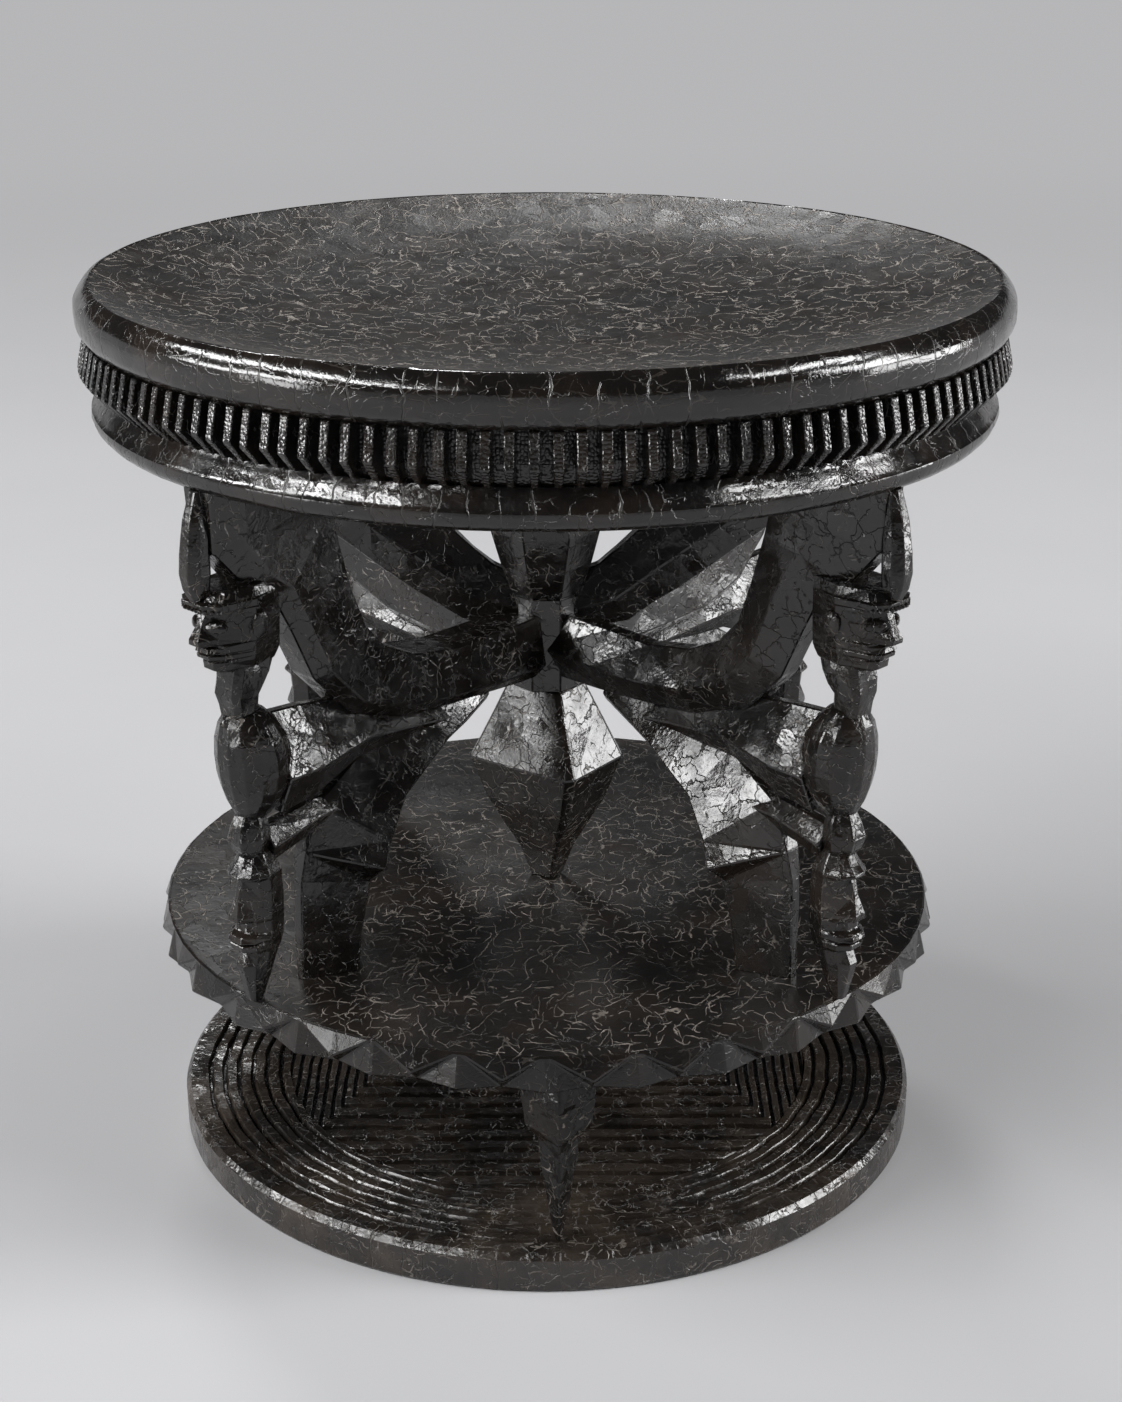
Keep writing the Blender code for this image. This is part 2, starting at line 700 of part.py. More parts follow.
def panel_meshes():
    """Every limb of one panel, each cut by the grown copies of what it grows from."""
    figure = FIGURE_CORNER_SHARE
    forms = {
        "belly": limb(BELLY_SHARES, BELLY_WIDTH, BELLY_THICKNESS, figure),
        "lower_head": limb(LOWER_HEAD_SHARES, LOWER_HEAD_WIDTH, LOWER_HEAD_THICKNESS, figure),
        "cradle_arm": limb(CRADLE_ARM_SHARES, CRADLE_ARM_WIDTH, CRADLE_ARM_THICKNESS),
        "leg": limb(LEG_SHARES, LEG_WIDTH, LEG_THICKNESS),
        "thigh": limb(THIGH_SHARES, THIGH_WIDTH, THIGH_THICKNESS),
        "head": head_form(),
        "crest": limb(CREST_SHARES, CREST_WIDTH, CREST_THICKNESS),
        "torso": limb(TORSO_SHARES, TORSO_WIDTH, TORSO_THICKNESS, figure),
        "knot": limb(KNOT_SHARES, KNOT_WIDTH, KNOT_THICKNESS, figure),
        "brace": limb(BRACE_SHARES, BRACE_WIDTH, BRACE_THICKNESS),
    }
    carriers = {
        "cradle_arm": (),
        "leg": ("cradle_arm",),
        "thigh": ("cradle_arm", "leg", "belly"),
        "head": ("cradle_arm",),
        "crest": ("head", "cradle_arm"),
        "torso": ("head", "belly", "cradle_arm", "thigh"),
        "knot": ("belly", "lower_head"),
        "brace": ("leg", "thigh", "belly", "knot", "lower_head"),
    }
    meshes = {name: mesh_from(form, name) for name, form in forms.items()}
    grown = {name: grown_copy(mesh) for name, mesh in meshes.items()}
    for name, others in carriers.items():
        cutters = [grown[other] for other in others]
        if name == "cradle_arm":
            cutters += grown_post()
        meshes[name] = cut(meshes[name], cutters)
    return meshes


def grown_post():
    return [grown_copy(mesh_from(hub_form(), "hub")), grown_copy(mesh_from(stem_form(), "stem"))]


def raised_arm_mesh():
    """The arm between two panels, cut by the post and by the cradle arm on either side."""
    arm = mesh_from(limb(RAISED_ARM_SHARES, RAISED_ARM_WIDTH, RAISED_ARM_THICKNESS), "raised_arm")
    cutters = grown_post()
    for side in (-1, 1):
        form = limb(CRADLE_ARM_SHARES, CRADLE_ARM_WIDTH, CRADLE_ARM_THICKNESS)
        neighbour = grown_copy(mesh_from(form, "neighbour"))
        neighbour.transform(Matrix.Rotation(side * pi / PANEL_COUNT, 4, "Z"))
        cutters.append(neighbour)
    return cut(arm, cutters)


def build_raised_arms(material):
    mesh = raised_arm_mesh()
    place("raised_arm_right", mesh, material)
    place("raised_arm_left", mesh, material, pi)


def build_panels(materials):
    meshes = panel_meshes()
    for panel in range(PANEL_COUNT):
        turn = FIRST_PANEL_ANGLE + panel * 2.0 * pi / PANEL_COUNT
        for name, mesh in meshes.items():
            place(f"{name}_{panel + 1}", mesh, materials[name], turn)


def build_struts(material):
    mesh = mesh_from(strut_form(), "strut")
    for number, side in enumerate(("front", "right", "left")):
        turn = FRONT_STRUT_ANGLE + number * 2.0 * pi / STRUT_COUNT
        place(f"strut_{side}", mesh, material, turn)


def build_middle(materials):
    place("middle_disc", mesh_from(middle_form(), "middle_disc"), materials["disc"])
    place("hub", mesh_from(hub_form(), "hub"), materials["post"])
    place("stem", mesh_from(stem_form(), "stem"), materials["post"])
    place("pendant", mesh_from(pendant_form(), "pendant"), materials["pendant"])


def build_seat(materials):
    moulding = mesh_from(turned(moulding_profile()), "seat_moulding")
    place("seat_moulding", moulding, materials["moulding"])
    place("rib_band", mesh_from(band_form(), "rib_band"), materials["ribs"])
    place("seat_dish", mesh_from(turned(seat_profile()), "seat_dish"), materials["dish"])


def main():
    clear_scene()
    black = (0.020, 0.017, 0.015)
    panel_wood = {
        name: wood(f"{name}_wood", black, 0.32)
        for name in (
            "belly",
            "lower_head",
            "cradle_arm",
            "leg",
            "thigh",
            "head",
            "crest",
            "torso",
            "knot",
            "brace",
        )
    }
    other_wood = {
        "disc": wood("disc_wood", (0.022, 0.019, 0.016), 0.45),
        "post": wood("post_wood", black, 0.40),
        "raised_arm": wood("raised_arm_wood", black, 0.32),
        "pendant": wood("pendant_wood", black, 0.30),
        "moulding": wood("moulding_wood", black, 0.28),
        "ribs": wood("rib_wood", (0.024, 0.020, 0.018), 0.36),
        "dish": wood("dish_wood", (0.022, 0.018, 0.015), 0.38),
    }
    build_base(wood("base_wood", (0.030, 0.025, 0.021), 0.50))
    build_struts(wood("strut_wood", black, 0.40))
    build_middle(other_wood)
    build_panels(panel_wood)
    build_raised_arms(other_wood["raised_arm"])
    build_seat(other_wood)


main()
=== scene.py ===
# Looks for the round carved stool: blackened hardwood, cut with a knife, oiled and rubbed.
# Every piece is laid over the solids of the frame, in metres.

import math

import bmesh
import bpy
from mathutils import Matrix, Vector, noise


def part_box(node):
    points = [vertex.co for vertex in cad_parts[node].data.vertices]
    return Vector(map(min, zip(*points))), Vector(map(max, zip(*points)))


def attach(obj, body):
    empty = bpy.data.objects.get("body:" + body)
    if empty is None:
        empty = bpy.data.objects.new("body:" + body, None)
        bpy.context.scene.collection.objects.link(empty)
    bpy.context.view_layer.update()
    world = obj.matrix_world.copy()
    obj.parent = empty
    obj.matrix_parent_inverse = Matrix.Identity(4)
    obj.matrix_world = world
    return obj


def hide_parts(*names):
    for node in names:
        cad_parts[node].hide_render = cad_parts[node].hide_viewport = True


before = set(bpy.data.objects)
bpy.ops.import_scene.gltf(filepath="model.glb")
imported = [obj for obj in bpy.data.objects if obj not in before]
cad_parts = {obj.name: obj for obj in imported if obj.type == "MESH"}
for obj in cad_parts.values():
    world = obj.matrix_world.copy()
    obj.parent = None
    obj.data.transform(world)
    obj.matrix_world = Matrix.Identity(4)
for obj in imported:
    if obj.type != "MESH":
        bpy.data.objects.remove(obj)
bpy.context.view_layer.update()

turn = 2.0 * math.pi
noise.seed_set(1)  # without a seed, vector noise is shifted by the clock


# Helpers for nodes.


def addNode(tree, kind, **values):
    node = tree.nodes.new(kind)
    for name, value in values.items():
        setattr(node, name, value)
    return node


def wire(tree, source, target):
    tree.links.new(source, target)


def mathNode(tree, operation, first, second=None, clamp=False):
    node = addNode(tree, "ShaderNodeMath", operation=operation, use_clamp=clamp)
    for slot, value in enumerate((first, second)):
        if value is None:
            continue
        if isinstance(value, (int, float)):
            node.inputs[slot].default_value = value
        else:
            wire(tree, value, node.inputs[slot])
    return node.outputs[0]


def vectorNode(tree, operation, first, second=None, scale=None):
    node = addNode(tree, "ShaderNodeVectorMath", operation=operation)
    for slot, value in enumerate((first, second)):
        if value is None:
            continue
        if isinstance(value, (tuple, list)):
            node.inputs[slot].default_value = value
        else:
            wire(tree, value, node.inputs[slot])
    if scale is not None:
        node.inputs["Scale"].default_value = scale
    return node.outputs["Value" if operation in ("DOT_PRODUCT", "LENGTH") else "Vector"]


def rangeNode(tree, value, low, high, toLow=0.0, toHigh=1.0):
    node = addNode(tree, "ShaderNodeMapRange", interpolation_type="SMOOTHSTEP")
    wire(tree, value, node.inputs["Value"])
    limits = {"From Min": low, "From Max": high, "To Min": toLow, "To Max": toHigh}
    for name, number in limits.items():
        node.inputs[name].default_value = number
    return node.outputs["Result"]


def noiseNode(tree, place, scale, detail=3.0, roughness=0.55, colour=False):
    node = addNode(tree, "ShaderNodeTexNoise")
    wire(tree, place, node.inputs["Vector"])
    node.inputs["Scale"].default_value = scale
    node.inputs["Detail"].default_value = detail
    node.inputs["Roughness"].default_value = roughness
    return node.outputs["Color" if colour else "Fac"]


def voronoiNode(tree, feature, place=None, size=None, **values):
    node = addNode(tree, "ShaderNodeTexVoronoi", feature=feature, **values)
    node.inputs["Scale"].default_value = 1.0 / size if size else 1.0
    if place is not None:
        wire(tree, place, node.inputs["Vector"])
    return node


def mixColours(tree, share, first, second):
    node = addNode(tree, "ShaderNodeMix", data_type="RGBA")
    wire(tree, share, node.inputs["Factor"])
    for name, value in (("A", first), ("B", second)):
        socket = [s for s in node.inputs if s.name == name and s.type == "RGBA"][0]
        if isinstance(value, (tuple, list)):
            socket.default_value = (*value, 1.0)
        else:
            wire(tree, value, socket)
    return [s for s in node.outputs if s.type == "RGBA"][0]


# The wood. Lengths are metres, colours are linear.

woodLook = {
    "black": (0.0050, 0.0044, 0.0040),
    "brown": (0.0150, 0.0110, 0.0085),
    "paleWoodAndGlint": (0.290, 0.255, 0.220),  # pale wood in the knife strokes, with a painted glint on it
    "roughLow": 0.11,
    "roughHigh": 0.28,
    "gloss": 0.65,
    "facetSize": 0.010,
    "facetTilt": 0.10,  # slope of a knife facet against the form under it
    "crackWidth": 0.00034,
    "crackDepth": 0.00032,
    # share of the pale colour put on cracks and rim cuts as a painted highlight
    "crackGlint": 0.03,
    "crackCover": 0.5,
    "strokeSizes": (0.0080, 0.0050),
    "strokeWidth": 0.00030,
    "strokeDepth": 0.00014,
    # how far the strokes go towards the pale colour: pale wood with a painted glint
    "strokePale": 0.5,
    "strokeCover": 0.35,
    "beadSize": 0.0,
    "beadDepth": 0.0,
    "beadRandomness": 0.6,
    "grainDepth": 0.00005,
    "dustShare": 0.0,
    "dustLevels": (0.0, 0.001),
    "dust": (0.060, 0.047, 0.036),
    "rimCuts": None,
    "field": None,  # inside this radius the wood is matt and scored with strokes
    "fieldRough": 0.10,
    "strokeOutside": 0.12,
    "strokeStretch": 1.0,
    "strokePatch": 38.0,
    "strokeSway": 0.006,
    "fieldEdge": (-0.0015, 0.0005),
    "crackLevels": (0.62, 0.24, 0.06),  # noise level at no cover, its fall at full cover, fade
    "strokeLevels": (0.66, 0.36, 0.08),
    # How finely each pattern changes, per metre.
    "swayScale": 45.0,
    "swayReach": 0.018,
    "crackPatch": 90.0,
    "grainScale": 900.0,
    "brownPatch": 24.0,
    "fleckScale": 160.0,
    "toneScale": 120.0,
    "roughPatch": 70.0,
    "lineRough": 0.2,
}
flatPlace = (1.0, 1.0, 0.0)  # keeps only what lies along the ground
strokeLook = {
    "bends": (0.7, -1.0, 1.3),
    "start": (0.11, 0.0, 0.0),
    "shift": (0.31, 0.07, 0.19),  # between one size of stroke and the next
    "ends": (0.28, 0.46),
}
cutLook = {
    "swayScale": 60.0,
    "randomness": 0.85,
    "fade": 0.001,
    "patch": 48.0,
    "cover": (0.40, 0.52),
}


def strokes(tree, place, size, width, number):
    # One short bent cut in each cell, each turned its own way.
    bend = strokeLook["bends"][number % len(strokeLook["bends"])]
    shifts = zip(strokeLook["start"], strokeLook["shift"])
    offset = tuple(start + shift * number for start, shift in shifts)
    moved = vectorNode(tree, "ADD", place, offset)
    cell = voronoiNode(tree, "F1", moved, size)
    local = vectorNode(tree, "SUBTRACT", moved, cell.outputs["Position"])
    turned = addNode(tree, "ShaderNodeVectorRotate", rotation_type="EULER_XYZ")
    wire(tree, local, turned.inputs["Vector"])
    rotation = vectorNode(tree, "SCALE", cell.outputs["Color"], scale=turn)
    wire(tree, rotation, turned.inputs["Rotation"])
    axes = addNode(tree, "ShaderNodeSeparateXYZ")
    wire(tree, turned.outputs[0], axes.inputs[0])
    along = mathNode(tree, "DIVIDE", axes.outputs["X"], size)
    curve = mathNode(tree, "MULTIPLY", mathNode(tree, "MULTIPLY", along, along), bend * size)
    away = mathNode(tree, "ABSOLUTE", mathNode(tree, "SUBTRACT", axes.outputs["Y"], curve))
    line = rangeNode(tree, away, 0.25 * width, width, 1.0, 0.0)
    ends = rangeNode(tree, mathNode(tree, "ABSOLUTE", along), *strokeLook["ends"], 1.0, 0.0)
    return mathNode(tree, "MULTIPLY", line, ends)


def cutsAround(tree, place, cuts):
    # Cuts across a round edge, at uneven angles.
    axes = addNode(tree, "ShaderNodeSeparateXYZ")
    wire(tree, place, axes.inputs[0])
    angle = mathNode(tree, "ARCTAN2", axes.outputs["Y"], axes.outputs["X"])
    cloud = noiseNode(tree, place, cutLook["swayScale"], 2.0)
    angle = mathNode(tree, "ADD", angle, mathNode(tree, "MULTIPLY", cloud, cuts["sway"]))
    pattern = voronoiNode(tree, "DISTANCE_TO_EDGE", voronoi_dimensions="1D")
    wire(tree, mathNode(tree, "MULTIPLY", angle, cuts["count"] / turn), pattern.inputs["W"])
    pattern.inputs["Randomness"].default_value = cutLook["randomness"]
    width = cuts["width"]
    line = rangeNode(tree, pattern.outputs["Distance"], 0.3 * width, width, 1.0, 0.0)
    away = vectorNode(tree, "LENGTH", vectorNode(tree, "MULTIPLY", place, flatPlace))
    outside = rangeNode(tree, away, cuts["from"] - cutLook["fade"], cuts["from"] + cutLook["fade"])
    here = rangeNode(tree, noiseNode(tree, place, cutLook["patch"], 2.0), *cutLook["cover"])
    return mathNode(tree, "MULTIPLY", mathNode(tree, "MULTIPLY", line, outside), here)


def coverNode(tree, cloud, share, levels):
    # Where the noise is above a level that falls as the cover grows.
    start, fall, fade = levels
    level = start - fall * share
    return rangeNode(tree, cloud, level - fade, level + fade)


def addAll(tree, values):
    total = values[0]
    for value in values[1:]:
        total = mathNode(tree, "ADD", total, value)
    return total


def makeWood(name, **changes):
    look = {**woodLook, **changes}
    material = bpy.data.materials.new(name)
    material.use_nodes = True
    tree = material.node_tree
    shader = tree.nodes["Principled BSDF"]
    place = addNode(tree, "ShaderNodeTexCoord").outputs["Object"]

    # Every cell of a warped pattern is a small knife facet with its own tilt.
    centre = (0.5, 0.5, 0.5)
    cloud = noiseNode(tree, place, look["swayScale"], 4.0, 0.7, colour=True)
    sway = vectorNode(tree, "SUBTRACT", cloud, centre)
    shift = vectorNode(tree, "SCALE", sway, scale=look["swayReach"])
    warped = vectorNode(tree, "ADD", place, shift)
    cell = voronoiNode(tree, "F1", warped, look["facetSize"])
    border = voronoiNode(tree, "DISTANCE_TO_EDGE", warped, look["facetSize"])
    lean = vectorNode(tree, "SUBTRACT", cell.outputs["Color"], centre)
    offset = vectorNode(tree, "SUBTRACT", warped, cell.outputs["Position"])
    slope = vectorNode(tree, "DOT_PRODUCT", offset, lean)
    facet = mathNode(tree, "MULTIPLY", slope, 2.0 * look["facetTilt"])

    # Cracks follow the facets' borders and fade out here and there.
    cloud = noiseNode(tree, place, look["crackPatch"], 2.0)
    crackHere = coverNode(tree, cloud, look["crackCover"], look["crackLevels"])
    gap = mathNode(tree, "MULTIPLY", border.outputs["Distance"], look["facetSize"])
    width = look["crackWidth"]
    line = rangeNode(tree, gap, 0.2 * width, width, 1.0, 0.0)
    crack = mathNode(tree, "MULTIPLY", line, crackHere)

    # Short knife strokes in several sizes.
    stroke = None
    shift = vectorNode(tree, "SCALE", sway, scale=look["strokeSway"])
    swayed = vectorNode(tree, "ADD", place, shift)
    scored = vectorNode(tree, "MULTIPLY", swayed, (1.0, 1.0 / look["strokeStretch"], 1.0))
    for number, size in enumerate(look["strokeSizes"]):
        layer = strokes(tree, scored, size, look["strokeWidth"], number)
        stroke = layer if stroke is None else mathNode(tree, "MAXIMUM", stroke, layer)
    cloud = noiseNode(tree, place, look["strokePatch"], 5.0, 0.7)
    strokeHere = coverNode(tree, cloud, look["strokeCover"], look["strokeLevels"])
    stroke = mathNode(tree, "MULTIPLY", stroke, strokeHere)
    inField = None
    if look["field"]:
        away = vectorNode(tree, "LENGTH", vectorNode(tree, "MULTIPLY", place, flatPlace))
        inner, outer = (look["field"] + step for step in look["fieldEdge"])
        inField = rangeNode(tree, away, inner, outer, 1.0, 0.0)
        share = rangeNode(tree, inField, 0.0, 1.0, look["strokeOutside"], 1.0)
        stroke = mathNode(tree, "MULTIPLY", stroke, share)

    # The height is in metres, so that the bump has its real size.
    grain = noiseNode(tree, place, look["grainScale"], 2.0, 0.6)
    heights = [
        mathNode(tree, "MULTIPLY", grain, look["grainDepth"]),
        facet,
        mathNode(tree, "MULTIPLY", crack, -look["crackDepth"]),
        mathNode(tree, "MULTIPLY", stroke, -look["strokeDepth"]),
    ]
    crackAndCutLines = crack
    if look["rimCuts"]:
        cuts = cutsAround(tree, place, look["rimCuts"])
        heights.append(mathNode(tree, "MULTIPLY", cuts, -look["rimCuts"]["depth"]))
        crackAndCutLines = mathNode(tree, "MAXIMUM", crackAndCutLines, cuts)
    if look["beadSize"]:
        bead = voronoiNode(tree, "F1", place, look["beadSize"])
        bead.inputs["Randomness"].default_value = look["beadRandomness"]
        heights.append(mathNode(tree, "MULTIPLY", bead.outputs["Distance"], -look["beadDepth"]))
    bump = addNode(tree, "ShaderNodeBump")
    bump.inputs["Distance"].default_value = 1.0
    wire(tree, addAll(tree, heights), bump.inputs["Height"])
    wire(tree, bump.outputs["Normal"], shader.inputs["Normal"])

    # Black wood, browner where the oil has worn off, paler where dust lies, paler in the strokes
    # (pale wood with a painted glint), and a touch paler along cracks and rim cuts as a painted
    # highlight.
    patch = rangeNode(tree, noiseNode(tree, place, look["brownPatch"], 4.0, 0.65), 0.38, 0.72)
    colour = mixColours(tree, patch, look["black"], look["brown"])
    if look["dustShare"]:
        axes = addNode(tree, "ShaderNodeSeparateXYZ")
        wire(tree, place, axes.inputs[0])
        low = rangeNode(tree, axes.outputs["Z"], *look["dustLevels"], 1.0, 0.0)
        fleck = rangeNode(tree, noiseNode(tree, place, look["fleckScale"], 4.0, 0.7), 0.35, 0.75)
        dust = mathNode(tree, "MULTIPLY", mathNode(tree, "MULTIPLY", low, fleck), look["dustShare"])
        colour = mixColours(tree, dust, colour, look["dust"])
    # The strokes get the pale colour: pale wood in the cuts, with a painted glint over it.
    cloud = noiseNode(tree, place, look["toneScale"], 2.0)
    tone = rangeNode(tree, cloud, 0.3, 0.7, 0.45 * look["strokePale"], look["strokePale"])
    pale = mathNode(tree, "MULTIPLY", stroke, tone)
    # Cracks and rim cuts take a little of the pale colour as a painted highlight.
    pale = mathNode(tree, "MAXIMUM", pale, mathNode(tree, "MULTIPLY", crackAndCutLines, look["crackGlint"]))
    colour = mixColours(tree, pale, colour, look["paleWoodAndGlint"])
    wire(tree, colour, shader.inputs["Base Color"])

    cloud = noiseNode(tree, place, look["roughPatch"], 3.0, 0.6)
    rough = rangeNode(tree, cloud, 0.3, 0.7, look["roughLow"], look["roughHigh"])
    lines = mathNode(tree, "MULTIPLY", mathNode(tree, "MAXIMUM", crackAndCutLines, stroke), look["lineRough"])
    rough = mathNode(tree, "ADD", rough, lines, clamp=True)
    if inField:
        matt = mathNode(tree, "MULTIPLY", inField, look["fieldRough"])
        rough = mathNode(tree, "ADD", rough, matt, clamp=True)
    wire(tree, rough, shader.inputs["Roughness"])
    shader.inputs["Specular IOR Level"].default_value = look["gloss"]
    return material


def addPiece(name, form, material, nodes, smooth=None):
    mesh = bpy.data.meshes.new(name)
    form.to_mesh(mesh)
    form.free()
    mesh.materials.append(material)
    if smooth is not None:
        mesh.shade_smooth()
        mesh.set_sharp_from_angle(angle=math.radians(smooth))
    piece = bpy.data.objects.new(name, mesh)
    bpy.context.scene.collection.objects.link(piece)
    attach(piece, "root")
    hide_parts(*nodes)
    return piece


# Helpers for shapes.


def mergedCopy(node):
    form = bmesh.new()
    form.from_mesh(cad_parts[node].data)
    bmesh.ops.remove_doubles(form, verts=form.verts, dist=0.00002)
    flat = math.radians(0.5)
    bmesh.ops.dissolve_limit(form, angle_limit=flat, verts=form.verts, edges=form.edges)
    return form


def joinInto(form, part):
    holder = bpy.data.meshes.new("part")
    part.to_mesh(holder)
    part.free()
    form.from_mesh(holder)
    bpy.data.meshes.remove(holder)


def splitLong(form, longest):
    for _ in range(5):
        bmesh.ops.triangulate(form, faces=form.faces)
        wide = [edge for edge in form.edges if edge.calc_length() > longest]
        if not wide:
            return
        bmesh.ops.subdivide_edges(form, edges=wide, cuts=1)
    bmesh.ops.triangulate(form, faces=form.faces)


def roughen(form, depth, size):
    # Moves each corner a little along its own normal, as a knife leaves it.
    form.normal_update()
    moves = [vert.normal * (depth * noise.noise(vert.co / size)) for vert in form.verts]
    for vert, move in zip(form.verts, moves):
        vert.co += move


def bevelEdges(form, edges, width, clamp):
    bmesh.ops.bevel(
        form,
        geom=edges,
        offset=width,
        offset_type="OFFSET",
        segments=1,
        profile=0.5,
        affect="EDGES",
        clamp_overlap=clamp,
        material=-1,
    )


def softenEdges(form, width, angle):
    def isSharp(edge):
        return len(edge.link_faces) == 2 and edge.calc_face_angle(0.0) > math.radians(angle)

    bevelEdges(form, [edge for edge in form.edges if isSharp(edge)], width, True)


def spun(profile, segments):
    form = bmesh.new()
    points = [form.verts.new((radius, 0.0, height)) for radius, height in profile]
    lines = [form.edges.new(pair) for pair in zip(points, points[1:])]
    bmesh.ops.spin(
        form,
        geom=points + lines,
        cent=(0.0, 0.0, 0.0),
        axis=(0.0, 0.0, 1.0),
        angle=turn,
        steps=segments,
        use_merge=True,
        use_duplicate=False,
    )
    bmesh.ops.remove_doubles(form, verts=form.verts, dist=0.00001)
    bmesh.ops.recalc_face_normals(form, faces=form.faces)
    return form


def pullIn(form, beyond, depth, size):
    # A hand-turned edge wanders inward a little, never out.
    for vert in form.verts:
        radius = vert.co.xy.length
        if radius > beyond:
            wave = 0.5 + 0.5 * noise.noise(vert.co / size)
            vert.co.xy *= 1.0 - depth * wave / radius


def loft(rings):
    # Bridges each ring of corners to the next and closes both ends.
    form = bmesh.new()
    loops = []
    for ring in rings:
        points = [form.verts.new(place) for place in ring]
        loops.append([form.edges.new(pair) for pair in zip(points, points[1:] + points[:1])])
    for lower, upper in zip(loops, loops[1:]):
        bmesh.ops.bridge_loops(form, edges=lower + upper)
    bmesh.ops.holes_fill(form, edges=loops[0] + loops[-1])
    bmesh.ops.recalc_face_normals(form, faces=form.faces)
    return form


def turnedAbout(form, angle):
    bmesh.ops.rotate(form, verts=form.verts, cent=(0, 0, 0), matrix=Matrix.Rotation(angle, 3, "Z"))
    return form


def cutOff(form, place, outward):
    # Takes away what lies beyond a plane and closes the cut.
    everything = form.verts[:] + form.edges[:] + form.faces[:]
    bmesh.ops.bisect_plane(
        form, geom=everything, plane_co=place, plane_no=outward, clear_outer=True
    )
    bmesh.ops.holes_fill(form, edges=[edge for edge in form.edges if edge.is_boundary])


def block(low, high):
    form = bmesh.new()
    bmesh.ops.create_cube(form, size=1.0)
    size = Vector(high) - Vector(low)
    bmesh.ops.scale(form, vec=size, verts=form.verts)
    bmesh.ops.translate(form, vec=(Vector(high) + Vector(low)) * 0.5, verts=form.verts)
    return form


def pebble(place, size, detail=2):
    form = bmesh.new()
    bmesh.ops.create_icosphere(form, subdivisions=detail, radius=1.0)
    bmesh.ops.scale(form, vec=size, verts=form.verts)
    bmesh.ops.translate(form, vec=place, verts=form.verts)
    return form


# Camera, floor and light.

cameraPlace = {"location": (0.0, -1.1314, 0.6478), "pitch": 69.079, "yaw": -0.363, "lens": 63.42}
camera = bpy.data.objects.new("camera", bpy.data.cameras.new("camera"))
camera.data.sensor_width = 36.0
camera.data.lens = cameraPlace["lens"]
camera.location = cameraPlace["location"]
camera.rotation_euler = (math.radians(cameraPlace["pitch"]), 0.0, math.radians(cameraPlace["yaw"]))
bpy.context.scene.collection.objects.link(camera)
bpy.context.scene.camera = camera
bpy.context.scene.view_settings.view_transform = "Standard"

studio = {
    "floor": (0.42, 0.42, 0.43),
    "backdrop": (0.47, 0.47, 0.48),
    "fadeStart": 1.2,
    "fadeEnd": 3.4,
    "floorReach": 40.0,
    "wall": 4.0,
    "segments": 64,
    "speckScale": 3.0,
    "speckPale": 1.03,
    "rough": 0.9,
    "world": (0.030, 0.030, 0.032),
}
softboxes = (
    # name, azimuth, distance, width, foot, top, radiance
    ("softboxHighLeft", -160.0, 3.5, 6.0, 3.20, 3.8, 27.0),
    ("softboxHighRight", -15.0, 3.5, 2.6, 3.50, 4.2, 20.0),
    ("softboxLeft", -164.0, 4.0, 2.7, 1.10, 2.1, 17.0),
    ("softboxLowLeft", -152.0, 4.0, 1.0, 0.01, 0.8, 9.0),
    ("softboxRight", -7.0, 4.0, 1.5, 1.30, 2.9, 19.0),
    ("softboxLowRight", 6.0, 4.0, 2.2, 0.01, 0.9, 11.0),
    ("softboxBack", 104.0, 4.4, 1.4, 3.9, 4.9, 30.0),
)

floorLine = [(0.0, 0.0), (studio["floorReach"], 0.0), (studio["floorReach"], studio["wall"])]
floorForm = spun(floorLine, studio["segments"])
bmesh.ops.reverse_faces(floorForm, faces=floorForm.faces)
floorMesh = bpy.data.meshes.new("floor")
floorForm.to_mesh(floorMesh)
floorForm.free()
floor = bpy.data.objects.new("floor", floorMesh)
bpy.context.scene.collection.objects.link(floor)
floorFinish = bpy.data.materials.new("paleFloor")
floorFinish.use_nodes = True
floorTree = floorFinish.node_tree
floorShader = floorTree.nodes["Principled BSDF"]
floorPlace = addNode(floorTree, "ShaderNodeTexCoord").outputs["Object"]
floorSpeck = rangeNode(floorTree, noiseNode(floorTree, floorPlace, studio["speckScale"]), 0.3, 0.7)
paler = tuple(studio["speckPale"] * part for part in studio["floor"])
floorColour = mixColours(floorTree, floorSpeck, studio["floor"], paler)
wire(floorTree, floorColour, floorShader.inputs["Base Color"])
floorShader.inputs["Roughness"].default_value = studio["rough"]
# Far from the stool the floor passes into an even backdrop.
backdrop = addNode(floorTree, "ShaderNodeEmission")
backdrop.inputs["Color"].default_value = (*studio["backdrop"], 1.0)
fromStool = vectorNode(floorTree, "LENGTH", floorPlace)
farAway = rangeNode(floorTree, fromStool, studio["fadeStart"], studio["fadeEnd"])
sight = addNode(floorTree, "ShaderNodeLightPath").outputs
seen = mathNode(floorTree, "MAXIMUM", sight["Is Camera Ray"], sight["Is Glossy Ray"])
seen = mathNode(floorTree, "MAXIMUM", seen, sight["Is Transmission Ray"])
blend = addNode(floorTree, "ShaderNodeMixShader")
wire(floorTree, mathNode(floorTree, "MULTIPLY", farAway, seen), blend.inputs["Fac"])
wire(floorTree, floorShader.outputs["BSDF"], blend.inputs[1])
wire(floorTree, backdrop.outputs["Emission"], blend.inputs[2])
wire(floorTree, blend.outputs["Shader"], floorTree.nodes["Material Output"].inputs["Surface"])
floorMesh.materials.append(floorFinish)

world = bpy.data.worlds.new("studio")
bpy.context.scene.world = world
world.use_nodes = True
world.node_tree.nodes["Background"].inputs["Color"].default_value = (*studio["world"], 1.0)
world.node_tree.nodes["Background"].inputs["Strength"].default_value = 1.0

